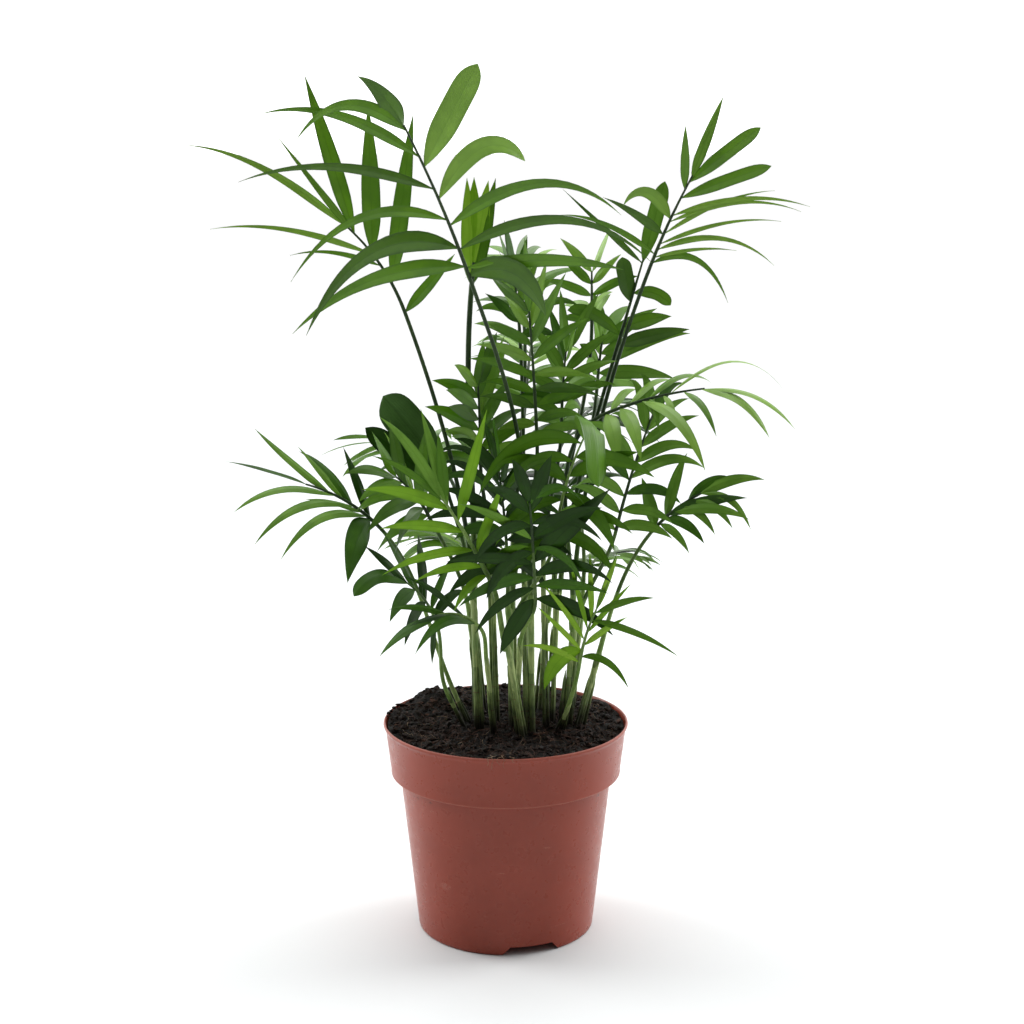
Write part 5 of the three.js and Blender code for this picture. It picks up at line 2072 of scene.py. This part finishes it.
@dataclass
class Crown:
    """All canes and fronds of the palm, and the two heights between which the canes darken towards the soil,
    partly with earth and partly with painted shade.
    """

    earth_and_shade_heights: Span = (113.0, 136.0)
    foot_room: float = 1.2
    rail_step: int = 3
    crisp: float = 75.0
    fronds: list[Frond] = field(default_factory=lambda: [Frond(plan) for plan in FRONDS])
    # Each tone's greens a, b and c: the deeper b partly paints shade and the brighter c partly paints light
    # and sheen.
    leaf_tints: dict[Tone, tuple[tuple[Colour, Colour], ...]] = field(
        default_factory=lambda: {
            Tone.PLAIN: (
                ((0.1, 0.24, 0.006), (0.058, 0.155, 0.004)),
                ((0.06, 0.15, 0.006), (0.034, 0.095, 0.004)),
                ((0.18, 0.345, 0.03), (0.12, 0.25, 0.016)),
            ),
            Tone.DARK: (
                ((0.045, 0.125, 0.007), (0.024, 0.075, 0.005)),
                ((0.016, 0.052, 0.003), (0.008, 0.028, 0.002)),
                ((0.13, 0.265, 0.03), (0.075, 0.175, 0.016)),
            ),
            Tone.FRESH: (
                ((0.17, 0.35, 0.014), (0.105, 0.24, 0.008)),
                ((0.072, 0.175, 0.008), (0.042, 0.115, 0.004)),
                ((0.24, 0.43, 0.035), (0.16, 0.32, 0.016)),
            ),
        }
    )
    glosses: dict[Tone, float] = field(
        default_factory=lambda: {Tone.PLAIN: 0.34, Tone.DARK: 0.12, Tone.FRESH: 0.1}
    )
    under_tints: dict[Tone, tuple[Colour, Colour]] = field(
        default_factory=lambda: {
            Tone.PLAIN: ((0.12, 0.25, 0.025), (0.075, 0.175, 0.012)),
            Tone.DARK: ((0.045, 0.11, 0.018), (0.027, 0.07, 0.01)),
            Tone.FRESH: ((0.12, 0.25, 0.025), (0.08, 0.18, 0.014)),
        }
    )

    def leaf_materials(self) -> dict[Tone, list[bpy.types.Material]]:
        """Builds the leaflets' finishes.

        Returns:
            Three upper sides and a lower side for each tone.
        """
        made = {}
        for tone in Tone:
            name, gloss = tone.value, self.glosses[tone]
            uppers = [
                LeafFinish(f"{name}_{letter}", *tints, gloss=gloss).make()
                for letter, tints in zip("abc", self.leaf_tints[tone])
            ]
            under = LeafFinish(f"{name}_under", *self.under_tints[tone], roughness=0.55, gloss=0.15)
            made[tone] = [*uppers, under.make()]
        return made

    def place(self) -> dict[str, list[Leaflet]]:
        """Puts each leaflet only where it clears what is already there.

        Returns:
            The kept leaflets of each frond.
        """
        room = Room()
        for name, plan in CANES.items():
            ends = [plan.foot, Vector(plan.top)]
            room.keep_line(f"stem_{name}", ends, [plan.radius * self.foot_room, plan.radius])
        for frond in self.fronds:
            centres, radii = frond.rail()
            room.keep_line(frond.plan.name, centres[:: self.rail_step], radii[:: self.rail_step])
        placed: dict[str, list[Leaflet]] = {}
        for frond in self.fronds:
            name = frond.plan.name
            placed[name] = []
            for leaf in frond.leaflets():
                for shift in SHIFTS:
                    option = leaf.shifted(*shift)
                    points, faces = option.outline()
                    if room.free(name, points, faces):
                        room.keep(name, points, faces)
                        placed[name].append(option)
                        break
        return placed

    def dress_canes(self) -> None:
        """Builds and finishes the canes."""
        materials = [
            StalkFinish("cane_skin", (0.21, 0.28, 0.09), (0.06, 0.105, 0.028), earth_and_shade_heights=self.earth_and_shade_heights).make(),
            StalkFinish("cane_scar", (0.2, 0.17, 0.08), (0.1, 0.075, 0.035), 0.7, earth_and_shade_heights=self.earth_and_shade_heights).make(),
            StalkFinish("cane_sheath", (0.32, 0.39, 0.15), (0.13, 0.21, 0.06), 0.5).make(),
        ]
        for name, plan in CANES.items():
            draft = Cane(name, plan).build()
            settle(draft.piece(f"cane_{name}", materials), "cane", [f"stem_{name}"])

    def dress_fronds(self) -> None:
        """Builds and finishes each frond's leaflets and its stalk."""
        leaves = self.leaf_materials()
        dark = StalkFinish("stalk_dark", (0.03, 0.06, 0.016), (0.011, 0.026, 0.008), 0.4).make()
        green = StalkFinish("stalk_green", (0.09, 0.15, 0.035), (0.035, 0.075, 0.016), 0.42).make()
        pale = StalkFinish("stalk_pale", (0.2, 0.3, 0.08), (0.09, 0.17, 0.03), 0.42).make()
        placed = self.place()
        for frond in self.fronds:
            plan = frond.plan
            name, kept = plan.name, placed[plan.name]
            draft = Draft()
            for leaf in kept:
                BLADE_FORM.lay(leaf, draft, leaf.tint, 3)
            blades = draft.piece(f"leaflets_{name}", leaves[plan.tone], self.crisp)
            settle(blades, plan.tone.value, [f"frond_{name}"])
            skins = [pale, pale, pale] if plan.pale_stalk else [dark, green, pale]
            settle(frond.stalk_draft().piece(f"stalk_{name}", skins), "cane")
            LOG.info("%s: %d of %d leaflets have room", name, len(kept), sum(plan.pairs))


# ---------------------------------------------------------------- studio


@dataclass
class Lamp:
    """A soft studio lamp: where it hangs, what it looks at, its size and power. Metres and watts."""

    name: str
    at: Point
    look: Point
    size: float
    watts: float

    def build(self) -> None:
        """Hangs the lamp."""
        light = bpy.data.lights.new(self.name, "AREA")
        light.shape = "DISK"
        light.size = self.size
        light.energy = self.watts
        lamp = bpy.data.objects.new(self.name, light)
        lamp.location = self.at
        lamp.rotation_euler = (Vector(self.look) - Vector(self.at)).to_track_quat("-Z", "Y").to_euler()
        bpy.context.scene.collection.objects.link(lamp)


@dataclass
class Studio:
    """Wide pale floor, a surround that is darker in front, soft lamps, and the camera. Metres and degrees."""

    reach: float = 12.0
    front: float = 0.08
    back: float = 1.75
    front_to_back: Span = (-0.35, 0.7)
    overhead: float = 0.8
    level_to_overhead: Span = (0.35, 1.0)
    camera_at: Point = (0.0031, -0.935, 0.408)
    pitch: float = 12.0
    lens: float = 69.9
    film_width: float = 36.0
    lamps: tuple[Lamp, ...] = (
        Lamp("lamp_left", (-1.3, 0.5, 0.7), (0, 0, 0.2), 0.9, 17.0),
        Lamp("lamp_right", (1.3, 0.5, 0.7), (0, 0, 0.2), 0.9, 17.0),
        Lamp("lamp_top", (0.0, 0.5, 1.5), (0, 0, 0.2), 1.0, 5.0),
    )

    def paper(self) -> None:
        """The floor, one flat sheet that runs out of sight."""
        points = [(x, y, 0.0) for y in (-self.reach, self.reach) for x in (-self.reach, self.reach)]
        draft = Draft()
        draft.add(np.array(points), [(0, 1, 3, 2)])
        draft.piece("studio_floor", [StudioFinish().make()])

    def light(self) -> None:
        """A white surround, darkest towards the front and brightest above and behind, and the lamps."""
        bench = Bench(bpy.data.worlds.new("surround"), "Background")
        around = bench.where(system="Generated")
        ahead = bench.between(bench.axis("Y", around), *self.front_to_back, self.front, self.back)
        above = bench.between(bench.axis("Z", around), *self.level_to_overhead, 0.0, self.overhead)
        bench.set(Color=(1.0, 1.0, 1.0), Strength=bench.sum("ADD", ahead, above))
        bpy.context.scene.world = bench.owner
        for lamp in self.lamps:
            lamp.build()

    def camera(self) -> None:
        """The camera, level in roll and looking a little down."""
        data = bpy.data.cameras.new("camera")
        data.lens = self.lens
        data.sensor_width = self.film_width
        camera = bpy.data.objects.new("camera", data)
        camera.location = self.camera_at
        camera.rotation_euler = (math.radians(90 - self.pitch), 0.0, 0.0)
        bpy.context.scene.collection.objects.link(camera)
        bpy.context.scene.camera = camera

    def build(self) -> None:
        """Sets the whole studio up."""
        self.paper()
        self.light()
        self.camera()
        bpy.context.scene.view_settings.view_transform = "Standard"


def main() -> None:
    """Builds the plant and its studio."""
    logging.basicConfig(level=logging.INFO, format="%(message)s")
    Studio().build()
    pot = Pot()
    pot.dress(pot.build())
    Soil().dress()
    crown = Crown()
    crown.dress_canes()
    crown.dress_fronds()


if __name__ == "__main__":
    main()
